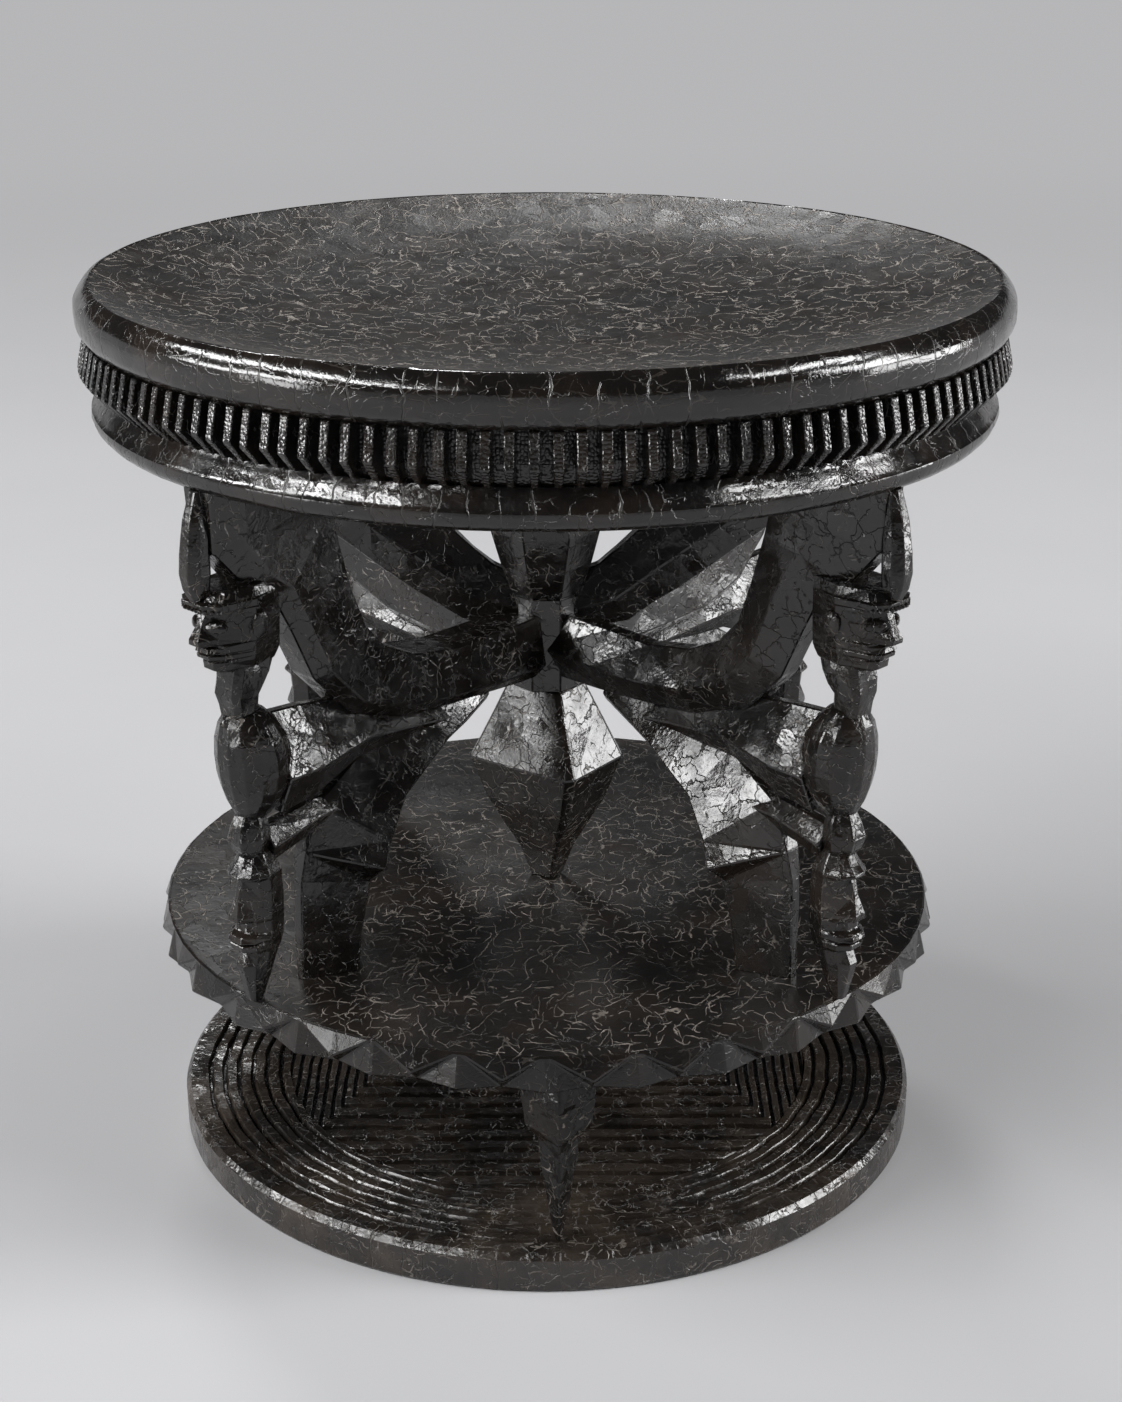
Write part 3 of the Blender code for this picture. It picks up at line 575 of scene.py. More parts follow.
for name, azimuth, distance, width, foot, top, radiance in softboxes:
    lamp = bpy.data.lights.new(name, "AREA")
    lamp.shape = "RECTANGLE"
    lamp.size, lamp.size_y = width, top - foot
    lamp.energy = radiance * math.pi * width * (top - foot)
    holder = bpy.data.objects.new(name, lamp)
    away = Vector((math.cos(math.radians(azimuth)), math.sin(math.radians(azimuth)), 0.0))
    holder.rotation_euler = away.to_track_quat("Z", "Y").to_euler()
    holder.location = away * distance + Vector((0.0, 0.0, 0.5 * (foot + top)))
    holder.visible_camera = False
    bpy.context.scene.collection.objects.link(holder)
print("camera, floor and lamps are set")


# Seat.

seatLow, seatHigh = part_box("seat_dish")
seat = {
    "radius": seatHigh.x,
    "core": 0.196,
    "shoulder": 0.4065,
    "dishRadius": 0.2062,
    "dishDepth": 0.0236,
    "segments": 168,
    "rimFrom": 0.19,
    "wobble": 0.0009,
    "wave": 0.012,
}
rimPoints = (
    # in from the edge, down from the top
    (0.0046, 0.0225), (0.0027, 0.0206), (0.0011, 0.0186), (0.0003, 0.0160), (0.0000, 0.0110),
    (0.0002, 0.0080), (0.0008, 0.0062), (0.0022, 0.0041), (0.0037, 0.0021), (0.0054, 0.0006),
    (0.0070, 0.0000), (0.0084, 0.0005),
)
dishShares = (
    (0.97, 0.10), (0.93, 0.20), (0.85, 0.40), (0.76, 0.57), (0.66, 0.70), (0.54, 0.82),
    (0.42, 0.90), (0.28, 0.96), (0.14, 0.99), (0.0, 1.0),
)
profile = [(0.0, seatLow.z), (seat["core"], seatLow.z), (seat["core"], seat["shoulder"])]
profile += [(seat["radius"] - inward, seatHigh.z - down) for inward, down in rimPoints]
profile += [(seat["dishRadius"] * r, seatHigh.z - seat["dishDepth"] * d) for r, d in dishShares]
seatForm = spun(profile, seat["segments"])
pullIn(seatForm, seat["rimFrom"], seat["wobble"], seat["wave"])
seatWood = makeWood(
    "rubbedSeatWood",
    field=0.2072,
    strokePatch=16.0,
    strokeStretch=2.2,
    facetSize=0.016,
    facetTilt=0.018,
    crackDepth=0.00016,
    crackCover=0.2,
    roughLow=0.10,
    roughHigh=0.16,
    fieldRough=0.17,
    strokeSizes=(0.0100, 0.0075, 0.0056),
    strokeWidth=0.00025,
    strokeDepth=0.00030,
    strokeCover=0.75,
    # pale wood and a painted glint in the seat's strokes
    strokePale=0.8,
    rimCuts={"count": 70.0, "width": 0.030, "from": 0.2085, "sway": 0.05, "depth": 0.0004},
)
addPiece("seatDish", seatForm, seatWood, ["seat_dish"], smooth=40)
print("seat turned")


# Rib band.

bandLow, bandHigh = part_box("rib_band")
ribs = {
    "count": 142,
    "radius": bandHigh.x,
    "coreRadius": 0.2015,
    "boreRadius": 0.1963,
    "kinkShare": 0.38,
    "bladeWidth": 0.0040,
    "footWidth": 0.0026,
    "rootWidth": 0.0046,
    "topInset": 0.0034,
    "footInset": 0.0086,
    "edge": 0.00045,
    "wander": 0.10,
    "widthSway": 1.5,
    "coreFoot": -0.0010,  # the core against its radius, at foot, kink and top
    "coreKink": 0.0024,
    "coreTop": 0.0012,
    "rootDepth": 0.0022,
    "kinkInset": 0.00025,
    "kinkSway": 0.0008,
    "endGap": 0.0003,
}
kink = bandLow.z + ribs["kinkShare"] * (bandHigh.z - bandLow.z)
bandForm = spun(
    [
        (ribs["boreRadius"], bandLow.z),
        (ribs["coreRadius"] + ribs["coreFoot"], bandLow.z),
        (ribs["coreRadius"] + ribs["coreKink"], kink),
        (ribs["coreRadius"] + ribs["coreTop"], bandHigh.z),
        (ribs["boreRadius"], bandHigh.z),
        (ribs["boreRadius"], bandLow.z),
    ],
    ribs["count"],
)


def ribAt(number):
    rib = bmesh.new()
    bmesh.ops.create_cube(rib, size=1.0)
    everything = rib.verts[:] + rib.edges[:] + rib.faces[:]
    bmesh.ops.bisect_plane(rib, geom=everything, plane_co=(0, 0, 0), plane_no=(0, 0, 1))
    swing = noise.noise(Vector((number * 3.7, 0.5, 0.2)))
    for vert in rib.verts:
        upper, lower = vert.co.z > 0.25, vert.co.z < -0.25
        if upper:
            inset, height = ribs["topInset"], bandHigh.z - ribs["endGap"]
        elif lower:
            inset, height = ribs["footInset"], bandLow.z + ribs["endGap"]
        else:
            inset, height = ribs["kinkInset"] * (1.0 + swing), kink + ribs["kinkSway"] * swing
        if vert.co.x > 0.0:
            width = ribs["footWidth"] if lower else ribs["bladeWidth"]
            vert.co.x = ribs["radius"] - inset
            vert.co.y *= width * (1.0 + ribs["widthSway"] * ribs["wander"] * swing)
        else:
            vert.co.x = ribs["coreRadius"] - ribs["rootDepth"]
            vert.co.y *= ribs["rootWidth"]
        vert.co.z = height
    outer = [edge for edge in rib.edges if min(v.co.x for v in edge.verts) > ribs["coreRadius"]]
    bevelEdges(rib, outer, ribs["edge"], False)
    return turnedAbout(rib, (number + ribs["wander"] * swing) * turn / ribs["count"])


for number in range(ribs["count"]):
    joinInto(bandForm, ribAt(number))
bmesh.ops.recalc_face_normals(bandForm, faces=bandForm.faces)
ribWood = makeWood(
    "ribWood",
    beadSize=0.0016,
    beadDepth=0.00035,
    facetSize=0.006,
    facetTilt=0.06,
    crackCover=0.2,
    strokeCover=0.0,
    roughLow=0.12,
    roughHigh=0.26,
    dustShare=0.25,
    dustLevels=(bandLow.z, kink),
)
addPiece("ribBand", bandForm, ribWood, ["rib_band"], smooth=20)
print("rib band cut")


# Moulding under the ribs.

mouldLow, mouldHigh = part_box("seat_moulding")
moulding = {"segments": 168, "rimFrom": 0.19, "wobble": 0.0006, "wave": 0.010, "topInset": 0.0070}
mouldPoints = (
    # in from the edge, up from the foot
    (0.0070, 0.0000), (0.0034, 0.0012), (0.0013, 0.0034), (0.0000, 0.0066), (0.0003, 0.0088),
    (0.0022, 0.0104), (0.0030, 0.0128), (0.0056, 0.0150),
)
profile = [(0.0, mouldLow.z)]
profile += [(mouldHigh.x - inward, mouldLow.z + up) for inward, up in mouldPoints]
profile += [(mouldHigh.x - moulding["topInset"], mouldHigh.z), (0.0, mouldHigh.z)]
mouldForm = spun(profile, moulding["segments"])
pullIn(mouldForm, moulding["rimFrom"], moulding["wobble"], moulding["wave"])
mouldWood = makeWood(
    "mouldingWood",
    facetSize=0.009,
    facetTilt=0.03,
    strokeCover=0.1,
    crackCover=0.3,
    roughLow=0.11,
    roughHigh=0.24,
    rimCuts={"count": 90.0, "width": 0.035, "from": 0.2030, "sway": 0.05, "depth": 0.0004},
)
addPiece("seatMoulding", mouldForm, mouldWood, ["seat_moulding"], smooth=40)
print("moulding turned")


# Middle disc.

middleWood = makeWood(
    "middleDiscWood",
    field=0.1880,
    strokePatch=16.0,
    strokeStretch=1.8,
    facetSize=0.016,
    facetTilt=0.018,
    strokeSizes=(0.0100, 0.0075, 0.0056),
    strokeWidth=0.00025,
    strokeDepth=0.00030,
    strokeCover=0.6,
    # pale wood and a painted glint in the disc's strokes
    strokePale=0.7,
    gloss=0.45,
    roughLow=0.18,
    roughHigh=0.24,
)
middleLow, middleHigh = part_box("middle_disc")
middle = {
    "teeth": 30,
    "lipRadius": 0.1889,
    "toothRadius": 0.1926,
    "valleyRadius": 0.1928,
    "valleyLevel": 0.1118,
    "underRadius": 0.1872,
    "lip": 0.0007,
    "wander": 0.0007,
    "swayScale": 90.0,
    "softAngle": 12.0,
    "near": 0.001,  # a corner this close to the top or the foot belongs to it
}
middleForm = bmesh.new()
bmesh.ops.create_cone(
    middleForm,
    cap_ends=True,
    segments=2 * middle["teeth"],
    radius1=middle["toothRadius"],
    radius2=middle["lipRadius"],
    depth=middleHigh.z - middleLow.z,
)
halfway = 0.5 * (middleHigh.z + middleLow.z)
bmesh.ops.translate(middleForm, vec=(0, 0, halfway), verts=middleForm.verts)
firstAngle = math.radians(-90.0)


def column(vert):
    angle = math.atan2(vert.co.y, vert.co.x) - firstAngle
    return round(angle * 2 * middle["teeth"] / turn) % 2


def isUpright(edge):
    return abs(edge.verts[0].co.z - edge.verts[1].co.z) > middle["near"]


valleys = [edge for edge in middleForm.edges if isUpright(edge) and column(edge.verts[0]) == 1]
bmesh.ops.subdivide_edges(middleForm, edges=valleys, cuts=1)
corners = []
for vert in middleForm.verts:
    isTop = vert.co.z > middleHigh.z - middle["near"]
    isFoot = vert.co.z < middleLow.z + middle["near"]
    isTooth = column(vert) == 0
    if not (isTop or isFoot):
        radius, level = middle["valleyRadius"], middle["valleyLevel"]
    elif isTop:
        radius, level = middle["lipRadius"], vert.co.z
    else:
        radius, level = middle["toothRadius" if isTooth else "underRadius"], vert.co.z
    if (isTop and isTooth) or not (isTop or isTooth):
        corners.append(vert)
    sway = noise.noise_vector(vert.co * middle["swayScale"])
    radius -= middle["wander"] * abs(sway.x)
    flat = vert.co.xy.normalized() * radius
    vert.co.x, vert.co.y = flat.x, flat.y
    vert.co += Vector((-flat.y, flat.x, 0.0)).normalized() * (2.0 * middle["wander"] * sway.y)
    if not (isTop or isFoot):
        level += 2.0 * middle["wander"] * sway.z
    vert.co.z = level
bmesh.ops.connect_verts(middleForm, verts=corners)
bmesh.ops.recalc_face_normals(middleForm, faces=middleForm.faces)
softenEdges(middleForm, middle["lip"], middle["softAngle"])
addPiece("middleDisc", middleForm, middleWood, ["middle_disc"])


# Base: a rim band, six ring ridges, and nested frames of straight ridges inside them.

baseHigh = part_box("base_disc")[1]
base = {
    "radius": baseHigh.x,
    "band": 0.0090,
    "rings": 6,
    "ringField": 0.0424,
    "crest": 0.0040,  # flat top of a ridge
    "depth": 0.0032,
    "frameLength": 0.0828,
    "frameDepth": 0.0086,
    "sideStep": 0.0048,
    "frontStep": 0.0106,
    "sideBar": 0.0029,
    "frontBar": 0.0064,
    "edge": 0.0005,
    "segments": 168,
    "footEdge": (0.0012, 0.0014),
    "topEdge": (0.0026, 0.0028),
    "lastWall": (0.0012, 0.0020),
    "groove": ((1.0, 0.0001), (0.65, 0.0010), (0.3, 0.0032)),  # share of its half width, down
    "fieldGap": 0.0016,
    "near": 0.001,
    "wobble": 0.0006,
    "wave": 0.014,
    "ringSway": (0.0011, 0.0006),
    "ringWave": 0.013,
    "swayAbove": 0.012,
    "swayFrom": 0.05,
    "frames": 13,
    "barSink": 0.0006,
    "barDown": 0.0002,
    "barCuts": 40,
    "barLong": 0.02,
    "barPart": 0.009,
    "barSway": (0.0008, 0.0011, 0.0007),
    "barWave": 0.011,
    "softAngle": 30.0,
}
top = baseHigh.z
profile = [
    (0.0, 0.0),
    (base["radius"] - base["footEdge"][0], 0.0),
    (base["radius"], base["footEdge"][1]),
    (base["radius"], top - base["topEdge"][1]),
    (base["radius"] - base["topEdge"][0], top),
]
ringStart = base["radius"] - base["band"]
step = base["ringField"] / base["rings"]
halfGroove = 0.5 * (step - base["crest"])
groove = base["groove"] + tuple((-share, down) for share, down in reversed(base["groove"]))
for ring in range(base["rings"]):
    middleOfGroove = ringStart - (ring + 0.5) * step
    profile += [(middleOfGroove + share * halfGroove, top - down) for share, down in groove]
lastRidge = ringStart - base["rings"] * step
profile += [
    (lastRidge - base["lastWall"][0], top),
    (lastRidge - base["lastWall"][1], top - base["depth"]),
    (0.0, top - base["depth"]),
]
baseForm = spun(profile, base["segments"])
outward, upward = base["ringSway"]
for vert in baseForm.verts:
    radius = vert.co.xy.length
    if vert.co.z > base["swayAbove"] and base["swayFrom"] < radius < ringStart + base["near"]:
        sway = noise.noise_vector(vert.co / base["ringWave"])
        vert.co.xy *= 1.0 + outward * sway.x / radius
        vert.co.z = min(top, vert.co.z + upward * sway.z)
pullIn(baseForm, base["radius"] - base["near"], base["wobble"], base["wave"])
reach = ringStart - base["ringField"] - base["fieldGap"]


def straightRidge(low, high):
    # A bar lying in the field, trimmed to the round edge of the field.
    bar = block(low, high)
    for cut in range(base["barCuts"]):
        angle = (cut + 0.5) * turn / base["barCuts"]
        outward = Vector((math.cos(angle), math.sin(angle), 0.0))
        if max(vert.co.dot(outward) for vert in bar.verts) <= reach:
            continue
        cutOff(bar, outward * reach, outward)
        if not bar.verts:
            return None
    long = [edge for edge in bar.edges if edge.calc_length() > base["barLong"]]
    if long:
        cuts = max(1, int(long[0].calc_length() / base["barPart"]))
        bmesh.ops.subdivide_edges(bar, edges=long, cuts=cuts, use_grid_fill=True)
    acrossX, acrossY, downward = base["barSway"]
    for vert in bar.verts:
        if vert.co.z > top - base["near"]:
            sway = noise.noise_vector(vert.co / base["barWave"])
            vert.co += Vector((acrossX * sway.x, acrossY * sway.y, -downward * abs(sway.z)))
    return bar


bars = []
floorOfField = top - base["depth"] - base["barSink"]
for number in range(base["frames"]):
    length = base["frameLength"] + (number - 0.5) * base["sideStep"]
    depth = base["frameDepth"] + (number - 0.5) * base["frontStep"]
    halfSide, halfFront = 0.5 * base["sideBar"], 0.5 * base["frontBar"]
    for side in (-1, 1):
        y = side * depth
        bars.append(((-length - halfSide, y - halfFront), (length + halfSide, y + halfFront)))
        x = side * length
        bars.append(((x - halfSide, halfFront - depth), (x + halfSide, depth - halfFront)))
for (lowX, lowY), (highX, highY) in bars:
    bar = straightRidge((lowX, lowY, floorOfField), (highX, highY, top - base["barDown"]))
    if bar:
        softenEdges(bar, base["edge"], base["softAngle"])
        joinInto(baseForm, bar)
bmesh.ops.recalc_face_normals(baseForm, faces=baseForm.faces)
baseWood = makeWood(
    "dustyBaseWood",
    facetSize=0.008,
    facetTilt=0.07,
    strokeCover=0.35,
    crackCover=0.35,
    black=(0.0075, 0.0063, 0.0055),
    brown=(0.036, 0.027, 0.020),
    roughLow=0.15,
    roughHigh=0.32,
    dustShare=0.2,
    dustLevels=(top - 0.0030, top - 0.0004),
    rimCuts={"count": 88.0, "width": 0.035, "from": 0.1765, "sway": 0.04, "depth": 0.0004},
)
addPiece("baseDisc", baseForm, baseWood, ["base_disc"], smooth=28)
print("discs cut")


# Limbs. Each station: place outward and height, as shares of the openwork, then width and
# thickness as shares of the limb's. A section gives corners: upward, then sideways.

openwork = {"spine": 0.187, "foot": 0.1223, "height": 0.2410, "sink": 0.0004, "rise": 0.0015}
arm = {
    "width": 0.0538,
    "thickness": 0.0290,
    "section": ((1.0, 0.25), (-0.10, 1.0), (-1.0, 0.45)),
    "carving": {"longest": 0.028, "depth": 0.0008},
    "stations": (
        (0.046, 0.527, 0.58, 0.80), (0.230, 0.527, 0.56, 0.95), (0.379, 0.528, 0.52, 1.00),
        (0.529, 0.541, 0.56, 1.00), (0.655, 0.578, 0.62, 0.96), (0.738, 0.648, 0.64, 0.92),
        (0.789, 0.741, 0.66, 0.92), (0.832, 0.826, 0.74, 0.92), (0.872, 0.872, 1.00, 0.92),
        (0.915, 0.925, 1.24, 0.92), (0.915, 1.030, 1.26, 1.00),
    ),
}
raisedArm = {
    "width": 0.0352,
    "thickness": 0.0225,
    "section": ((1.0, 0.30), (-0.10, 1.0), (-1.0, 0.45)),
    "carving": {"longest": 0.018, "depth": 0.0012},
    "stations": (
        (0.046, 0.594, 0.70, 0.92), (0.172, 0.625, 0.88, 0.96), (0.287, 0.692, 0.98, 1.00),
        (0.437, 0.777, 1.00, 1.00), (0.609, 0.880, 1.00, 1.00), (0.747, 0.960, 1.00, 1.00),
        (0.885, 1.053, 1.00, 1.00),
    ),
}
leg = {
    "width": 0.0500,
    "thickness": 0.0260,
    "section": ((1.0, 0.22), (-0.55, 1.16), (-1.0, 0.55)),
    "carving": {"longest": 0.024, "depth": 0.0007},
    "stations": (
        (0.253, 0.486, 0.44, 0.50), (0.420, 0.432, 0.50, 0.74), (0.600, 0.365, 0.70, 1.04),
        (0.700, 0.292, 0.94, 1.34), (0.738, 0.232, 0.86, 1.58), (0.750, 0.190, 0.80, 1.00),
        (0.768, 0.090, 0.69, 0.88), (0.780, -0.020, 0.60, 0.88),
    ),
}
thigh = {
    "width": 0.0495,
    "thickness": 0.0360,
    "section": ((1.0, 0.14), (-0.20, 1.0), (-1.0, 0.40)),
    "carving": {"longest": 0.024, "depth": 0.0006},
    "stations": (
        (0.322, 0.438, 0.26, 0.38), (0.483, 0.460, 0.39, 0.56), (0.667, 0.483, 0.59, 0.78),
        (0.828, 0.469, 0.87, 0.96), (0.930, 0.465, 0.96, 0.90),
    ),
}
brace = {
    "width": 0.0172,
    "thickness": 0.0172,
    "section": ((1.0, 0.30), (0.0, 1.0), (-1.0, 0.50)),
    "carving": {},
    "stations": (
        (0.644, 0.340, 0.90, 0.90), (0.805, 0.334, 0.85, 0.90), (0.954, 0.309, 1.00, 1.00),
    ),
}
plainSection = ((1.0, 0.80), (-0.60, 1.0), (-1.0, 0.60))
carving = {"longest": 0.023, "depth": 0.0006, "patch": 0.012, "edge": 0.0006, "angle": 6.0}


def limbForm(limb):
    spine, foot, height = openwork["spine"], openwork["foot"], openwork["height"]
    places = [Vector((spine * row[0], 0.0, foot + height * row[1])) for row in limb["stations"]]
    corners = list(limb["section"]) + [(up, -side) for up, side in reversed(limb["section"])]
    rings = []
    for number, row in enumerate(limb["stations"]):
        before, after = places[max(number - 1, 0)], places[min(number + 1, len(places) - 1)]
        along = (after - before).normalized()
        upward = Vector((-along.z, 0.0, along.x)) * (0.5 * limb["width"] * row[2])
        sideways = Vector((0.0, 0.5 * limb["thickness"] * row[3], 0.0))
        rings.append([places[number] + upward * up + sideways * side for up, side in corners])
    form = loft(rings)
    cutOff(form, (0.0, 0.0, middleHigh.z - openwork["sink"]), (0.0, 0.0, -1.0))
    cutOff(form, (0.0, 0.0, mouldLow.z + openwork["rise"]), (0.0, 0.0, 1.0))
    return form


def carved(form, **changes):
    plan = {**carving, **changes}
    splitLong(form, plan["longest"])
    roughen(form, plan["depth"], plan["patch"])
    softenEdges(form, plan["edge"], plan["angle"])
    return form


limbWood = makeWood(
    "limbWood", facetSize=0.009, facetTilt=0.035, strokeCover=0.3, crackCover=0.5, crackDepth=0.0004
)
figureWood = makeWood(
    "figureWood", facetSize=0.009, facetTilt=0.07, strokeCover=0.25, crackCover=0.55, gloss=0.5
)
supportWood = makeWood(
    "supportWood", facetSize=0.007, facetTilt=0.12, strokeCover=0.5, crackCover=0.6, gloss=0.28
)
postWood = makeWood("postWood", facetSize=0.015, facetTilt=0.03, strokeCover=0.5, crackCover=0.6)


# Figures. A row of a face, in millimetres: height, front, half width of the front, then place and
# half width of the cheeks, of the sides and of the back.

headRows = (
    (283.0, 199.0, 2.5, 196.0, 5.0, 186.0, 7.5, 175.0, 5.5),
    (285.0, 203.0, 3.4, 199.2, 6.8, 187.0, 10.0, 173.0, 7.0),
    (288.6, 203.6, 3.5, 199.6, 7.4, 187.0, 11.4, 171.5, 8.0),
    (289.4, 202.2, 3.5, 198.9, 7.4, 187.0, 11.6, 171.2, 8.0),
    (290.4, 206.0, 4.0, 200.6, 8.2, 187.0, 12.0, 171.0, 8.4),
    (292.2, 206.2, 4.2, 200.8, 8.4, 187.0, 12.2, 171.0, 8.6),
    (292.8, 203.4, 4.2, 199.8, 8.2, 187.0, 12.2, 171.0, 8.6),
    (293.4, 206.8, 4.2, 201.0, 8.6, 187.0, 12.4, 171.0, 8.6),
    (295.6, 206.2, 3.8, 200.8, 8.8, 187.0, 12.6, 171.0, 8.8),
    (296.4, 204.0, 3.2, 200.6, 9.0, 187.0, 12.8, 171.0, 9.0),
    (297.2, 210.2, 3.6, 202.2, 6.6, 187.0, 13.0, 171.0, 9.0),
    (299.6, 210.6, 3.2, 202.0, 6.4, 187.0, 13.2, 171.0, 9.2),
    (305.0, 207.6, 1.9, 200.4, 7.4, 187.0, 13.6, 171.0, 9.4),
    (310.0, 205.6, 2.4, 199.4, 10.0, 187.0, 13.8, 171.0, 9.4),
    (312.6, 204.8, 4.0, 199.0, 11.0, 187.0, 13.8, 171.0, 9.4),
    (313.4, 209.6, 6.0, 205.0, 12.4, 187.0, 14.8, 171.0, 9.6),
    (316.4, 210.4, 6.0, 205.8, 12.8, 187.0, 15.0, 171.0, 9.6),
    (317.2, 207.6, 5.6, 203.0, 11.8, 187.0, 14.2, 171.0, 9.4),
    (321.5, 204.6, 4.8, 200.0, 10.2, 187.0, 13.0, 171.0, 9.0),
)
lowerHeadRows = (
    (196.2, 189.0, 1.8, 187.6, 4.0, 184.0, 6.0, 179.0, 4.0),
    (190.0, 192.6, 2.4, 190.0, 6.6, 184.0, 9.6, 176.0, 6.0),
    (185.6, 196.0, 3.0, 192.6, 8.6, 184.0, 11.2, 174.5, 7.5),
    (184.4, 196.2, 3.0, 192.8, 8.6, 184.0, 11.2, 174.5, 7.5),
    (183.0, 192.4, 1.8, 188.4, 8.2, 184.0, 10.8, 174.5, 7.5),
    (175.0, 194.6, 1.4, 187.6, 7.6, 183.5, 10.6, 174.0, 7.5),
    (166.0, 197.4, 3.4, 189.0, 7.0, 183.5, 10.6, 174.0, 7.5),
    (163.6, 197.6, 3.8, 189.4, 7.0, 183.5, 10.4, 174.0, 7.5),
    (162.6, 192.4, 3.0, 189.4, 7.8, 183.5, 10.2, 174.0, 7.5),
    (158.0, 193.4, 3.4, 190.0, 7.4, 183.5, 9.8, 174.0, 7.2),
    (156.6, 196.6, 4.2, 191.6, 8.8, 184.0, 10.2, 174.5, 7.2),
    (153.8, 197.4, 4.4, 192.0, 9.0, 184.0, 10.2, 174.5, 7.2),
    (153.0, 193.0, 4.0, 189.6, 8.2, 184.0, 9.8, 174.8, 7.0),
    (152.2, 196.6, 4.2, 191.8, 8.6, 184.0, 9.8, 175.0, 7.0),
    (149.0, 195.8, 3.8, 191.2, 8.0, 184.0, 9.4, 175.5, 6.6),
    (147.6, 192.0, 2.8, 189.2, 6.8, 184.4, 8.8, 176.0, 6.0),
    (141.0, 195.0, 2.6, 191.2, 6.2, 185.5, 7.8, 178.5, 5.0),
    (133.0, 193.0, 2.2, 190.6, 4.8, 186.0, 6.2, 181.0, 4.2),
    (122.0, 190.4, 1.4, 189.4, 2.8, 187.5, 3.6, 184.5, 2.4),
)
crestRows = (
    # height, place outward, half depth, half width
    (364.5, 203.0, 4.6, 4.6),
    (352.0, 206.0, 5.6, 6.0),
    (338.0, 207.4, 6.4, 7.4),
    (329.0, 207.8, 6.6, 7.8),
    (322.0, 207.2, 5.8, 6.8),
    (315.6, 206.6, 3.4, 3.2),
)
bellyRows = (
    (265.0, 186.0, 4.5, 4.5),
    (261.8, 185.4, 8.8, 8.8),
    (256.5, 184.2, 13.0, 12.8),
    (249.0, 182.8, 15.9, 15.6),
    (241.0, 181.8, 17.0, 16.5),
    (233.0, 181.2, 16.9, 16.3),
    (226.0, 181.2, 15.4, 14.8),
    (219.5, 182.2, 12.4, 11.9),
    (214.0, 183.2, 8.6, 8.4),
    (209.5, 184.0, 4.4, 4.4),
)
knotRows = (
    (215.0, 185.0, 6.0, 6.0),
    (209.0, 185.6, 8.6, 8.2),
    (202.0, 186.2, 10.2, 9.6),
    (197.0, 185.6, 9.0, 8.6),
    (191.0, 184.6, 5.5, 5.6),
)
face = {
    "millimetre": 0.001,
    "beads": 11,
    "beadSize": 0.0012,
    "beadLevel": 0.3136,
    "beadReach": 0.0122,  # half the row of beads
    "beadFront": 0.2100,
    "beadSlope": 0.72,
    "beadFlat": 0.0058,
    "eye": (0.0019, 0.0052, 0.0027),
    "eyePlace": (0.2032, 0.0070, 0.3052),
    "eyeTurn": 40.0,
    "ear": (0.0046, 0.0017, 0.0064),
    "earPlace": (0.1850, 0.0138, 0.3040),
    "bellySides": 14,
    "crestSides": 8,
    "knotSides": 6,
}


def faceForm(rows):
    rings = []
    for height, front, bridge, cheek, cheekWidth, side, sideWidth, back, backWidth in rows:
        half = [(front, bridge), (cheek, cheekWidth), (side, sideWidth), (back, backWidth)]
        outline = half + [(x, -y) for x, y in reversed(half)]
        rings.append([Vector((x, y, height)) * face["millimetre"] for x, y in outline])
    return loft(rings)


def roundForm(rows, sides):
    rings = []
    for height, place, depth, width in rows:
        angles = [(corner + 0.5) * turn / sides for corner in range(sides)]
        ring = [(place + depth * math.cos(a), width * math.sin(a), height) for a in angles]
        rings.append([Vector(point) * face["millimetre"] for point in ring])
    return loft(rings)


def addFace(form):
    for side in (-1, 1):
        x, y, z = face["eyePlace"]
        eye = pebble((0, 0, 0), face["eye"])
        turnedAbout(eye, math.radians(side * face["eyeTurn"]))
        bmesh.ops.translate(eye, vec=(x, side * y, z), verts=eye.verts)
        joinInto(form, eye)
        x, y, z = face["earPlace"]
        joinInto(form, pebble((x, side * y, z), face["ear"]))
    for bead in range(face["beads"]):
        y = face["beadReach"] * (2.0 * bead / (face["beads"] - 1) - 1.0)
        size = face["beadSize"]
        x = face["beadFront"] - face["beadSlope"] * max(0.0, abs(y) - face["beadFlat"])
        joinInto(form, pebble((x, y, face["beadLevel"]), (size, size, size), 1))


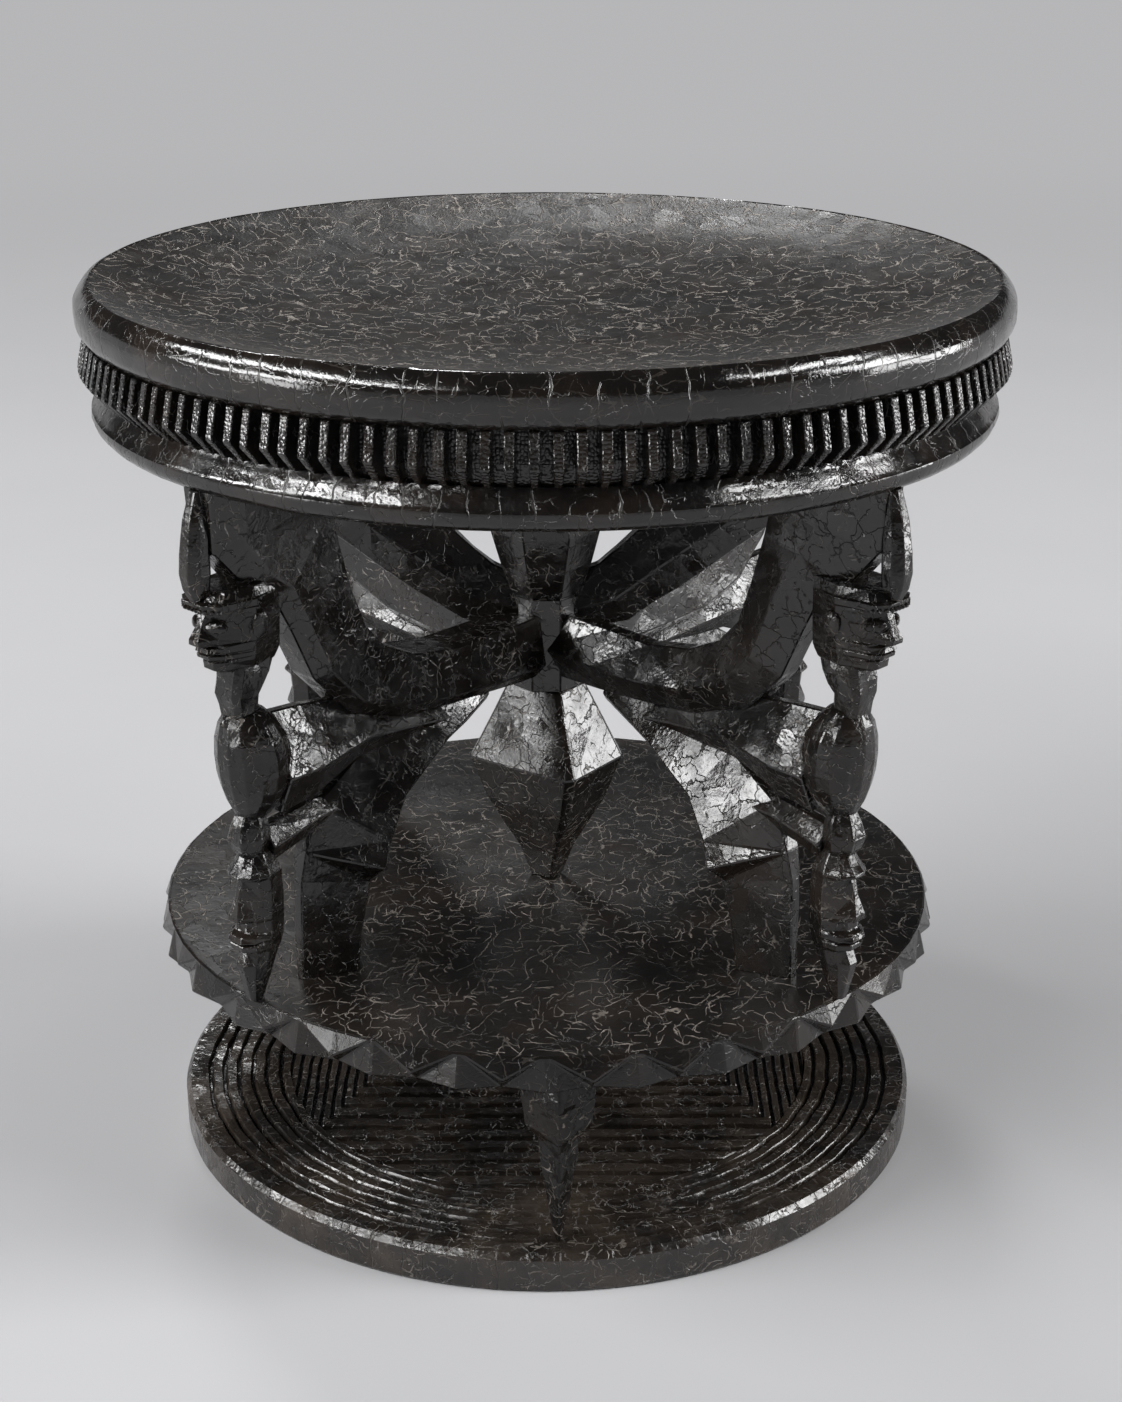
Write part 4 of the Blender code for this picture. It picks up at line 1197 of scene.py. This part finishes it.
figureCarving = {"longest": 0.012, "depth": 0.0003, "patch": 0.006, "edge": 0.0004, "angle": 12.0}
knotCarving = {"longest": 0.010, "depth": 0.0006}
torsoCarving = {"longest": 0.009, "depth": 0.0010, "patch": 0.007}
plainArm = {**arm, "section": plainSection}
for number in range(1, 5):
    angle = math.radians(-135.0 + 90.0 * (number - 1))
    ownArm = arm if number == 2 else plainArm  # only the right front arm has a broad upper facet
    for name, limb in (("cradle_arm", ownArm), ("leg", leg), ("thigh", thigh), ("brace", brace)):
        form = carved(turnedAbout(limbForm(limb), angle), **limb["carving"])
        node = f"{name}_{number}"
        addPiece(node + "Carved", form, limbWood, [node])
    headForm = carved(turnedAbout(faceForm(headRows), angle), **figureCarving)
    features = bmesh.new()
    addFace(features)
    joinInto(headForm, turnedAbout(features, angle))
    lowerHead = turnedAbout(faceForm(lowerHeadRows), angle)
    crest = turnedAbout(roundForm(crestRows, face["crestSides"]), angle)
    belly = turnedAbout(roundForm(bellyRows, face["bellySides"]), angle)
    knot = turnedAbout(roundForm(knotRows, face["knotSides"]), angle)
    shapes = {
        "head": headForm,
        "lower_head": carved(lowerHead, **figureCarving),
        "crest": carved(crest, **figureCarving),
        "belly": carved(belly, **figureCarving),
        "knot": carved(knot, **knotCarving),
        "torso": carved(mergedCopy(f"torso_{number}"), **torsoCarving),
    }
    for name, shape in shapes.items():
        node = f"{name}_{number}"
        addPiece(node + "Carved", shape, figureWood, [node])
for name, angle in (("raised_arm_right", 0.0), ("raised_arm_left", math.pi)):
    form = carved(turnedAbout(limbForm(raisedArm), angle), **raisedArm["carving"])
    addPiece(name + "Carved", form, limbWood, [name])
postCarving = {"longest": 0.022}
for node in ("hub", "stem", "pendant"):
    form = carved(mergedCopy(node), **postCarving)
    addPiece(node + "Carved", form, postWood, [node])


# Supports between the discs: a two-faced block, and a spear below it.

overlap = 0.0004
support = {
    "foot": baseHigh.z - overlap,
    "height": middleLow.z - baseHigh.z + 2.0 * overlap,
    "carving": {"longest": 0.011, "depth": 0.0010},
    # height, height of the front ridge, front, half width, place of the sides, back
    "block": (
        (1.00, 1.00, 0.1790, 0.0168, 0.1690, 0.1530),
        (0.84, 0.84, 0.1806, 0.0172, 0.1700, 0.1530),
        (0.68, 0.62, 0.1802, 0.0150, 0.1700, 0.1550),
        (0.60, 0.50, 0.1790, 0.0088, 0.1710, 0.1580),
    ),
    "spear": (
        (0.66, 0.66, 0.1760, 0.0096, 0.1690, 0.1580),
        (0.52, 0.52, 0.1784, 0.0094, 0.1700, 0.1590),
        (0.36, 0.36, 0.1776, 0.0070, 0.1702, 0.1620),
        (0.14, 0.14, 0.1762, 0.0042, 0.1706, 0.1650),
        (0.00, 0.00, 0.1752, 0.0020, 0.1716, 0.1680),
    ),
}


def supportForm(rows):
    rings = []
    for level, ridge, front, half, side, back in rows:
        height = support["foot"] + level * support["height"]
        ridgeHeight = support["foot"] + ridge * support["height"]
        ring = [(front, 0.0, ridgeHeight), (side, half, height), (back, 0.5 * half, height)]
        ring += [(x, -y, z) for x, y, z in reversed(ring[1:])]
        rings.append([Vector(point) for point in ring])
    return loft(rings)


for name, azimuth in (("strut_front", -88.3), ("strut_right", 31.7), ("strut_left", 151.7)):
    form = supportForm(support["block"])
    joinInto(form, supportForm(support["spear"]))
    form = carved(turnedAbout(form, math.radians(azimuth)), **support["carving"])
    addPiece(name + "Carved", form, supportWood, [name])
print("limbs and figures carved")
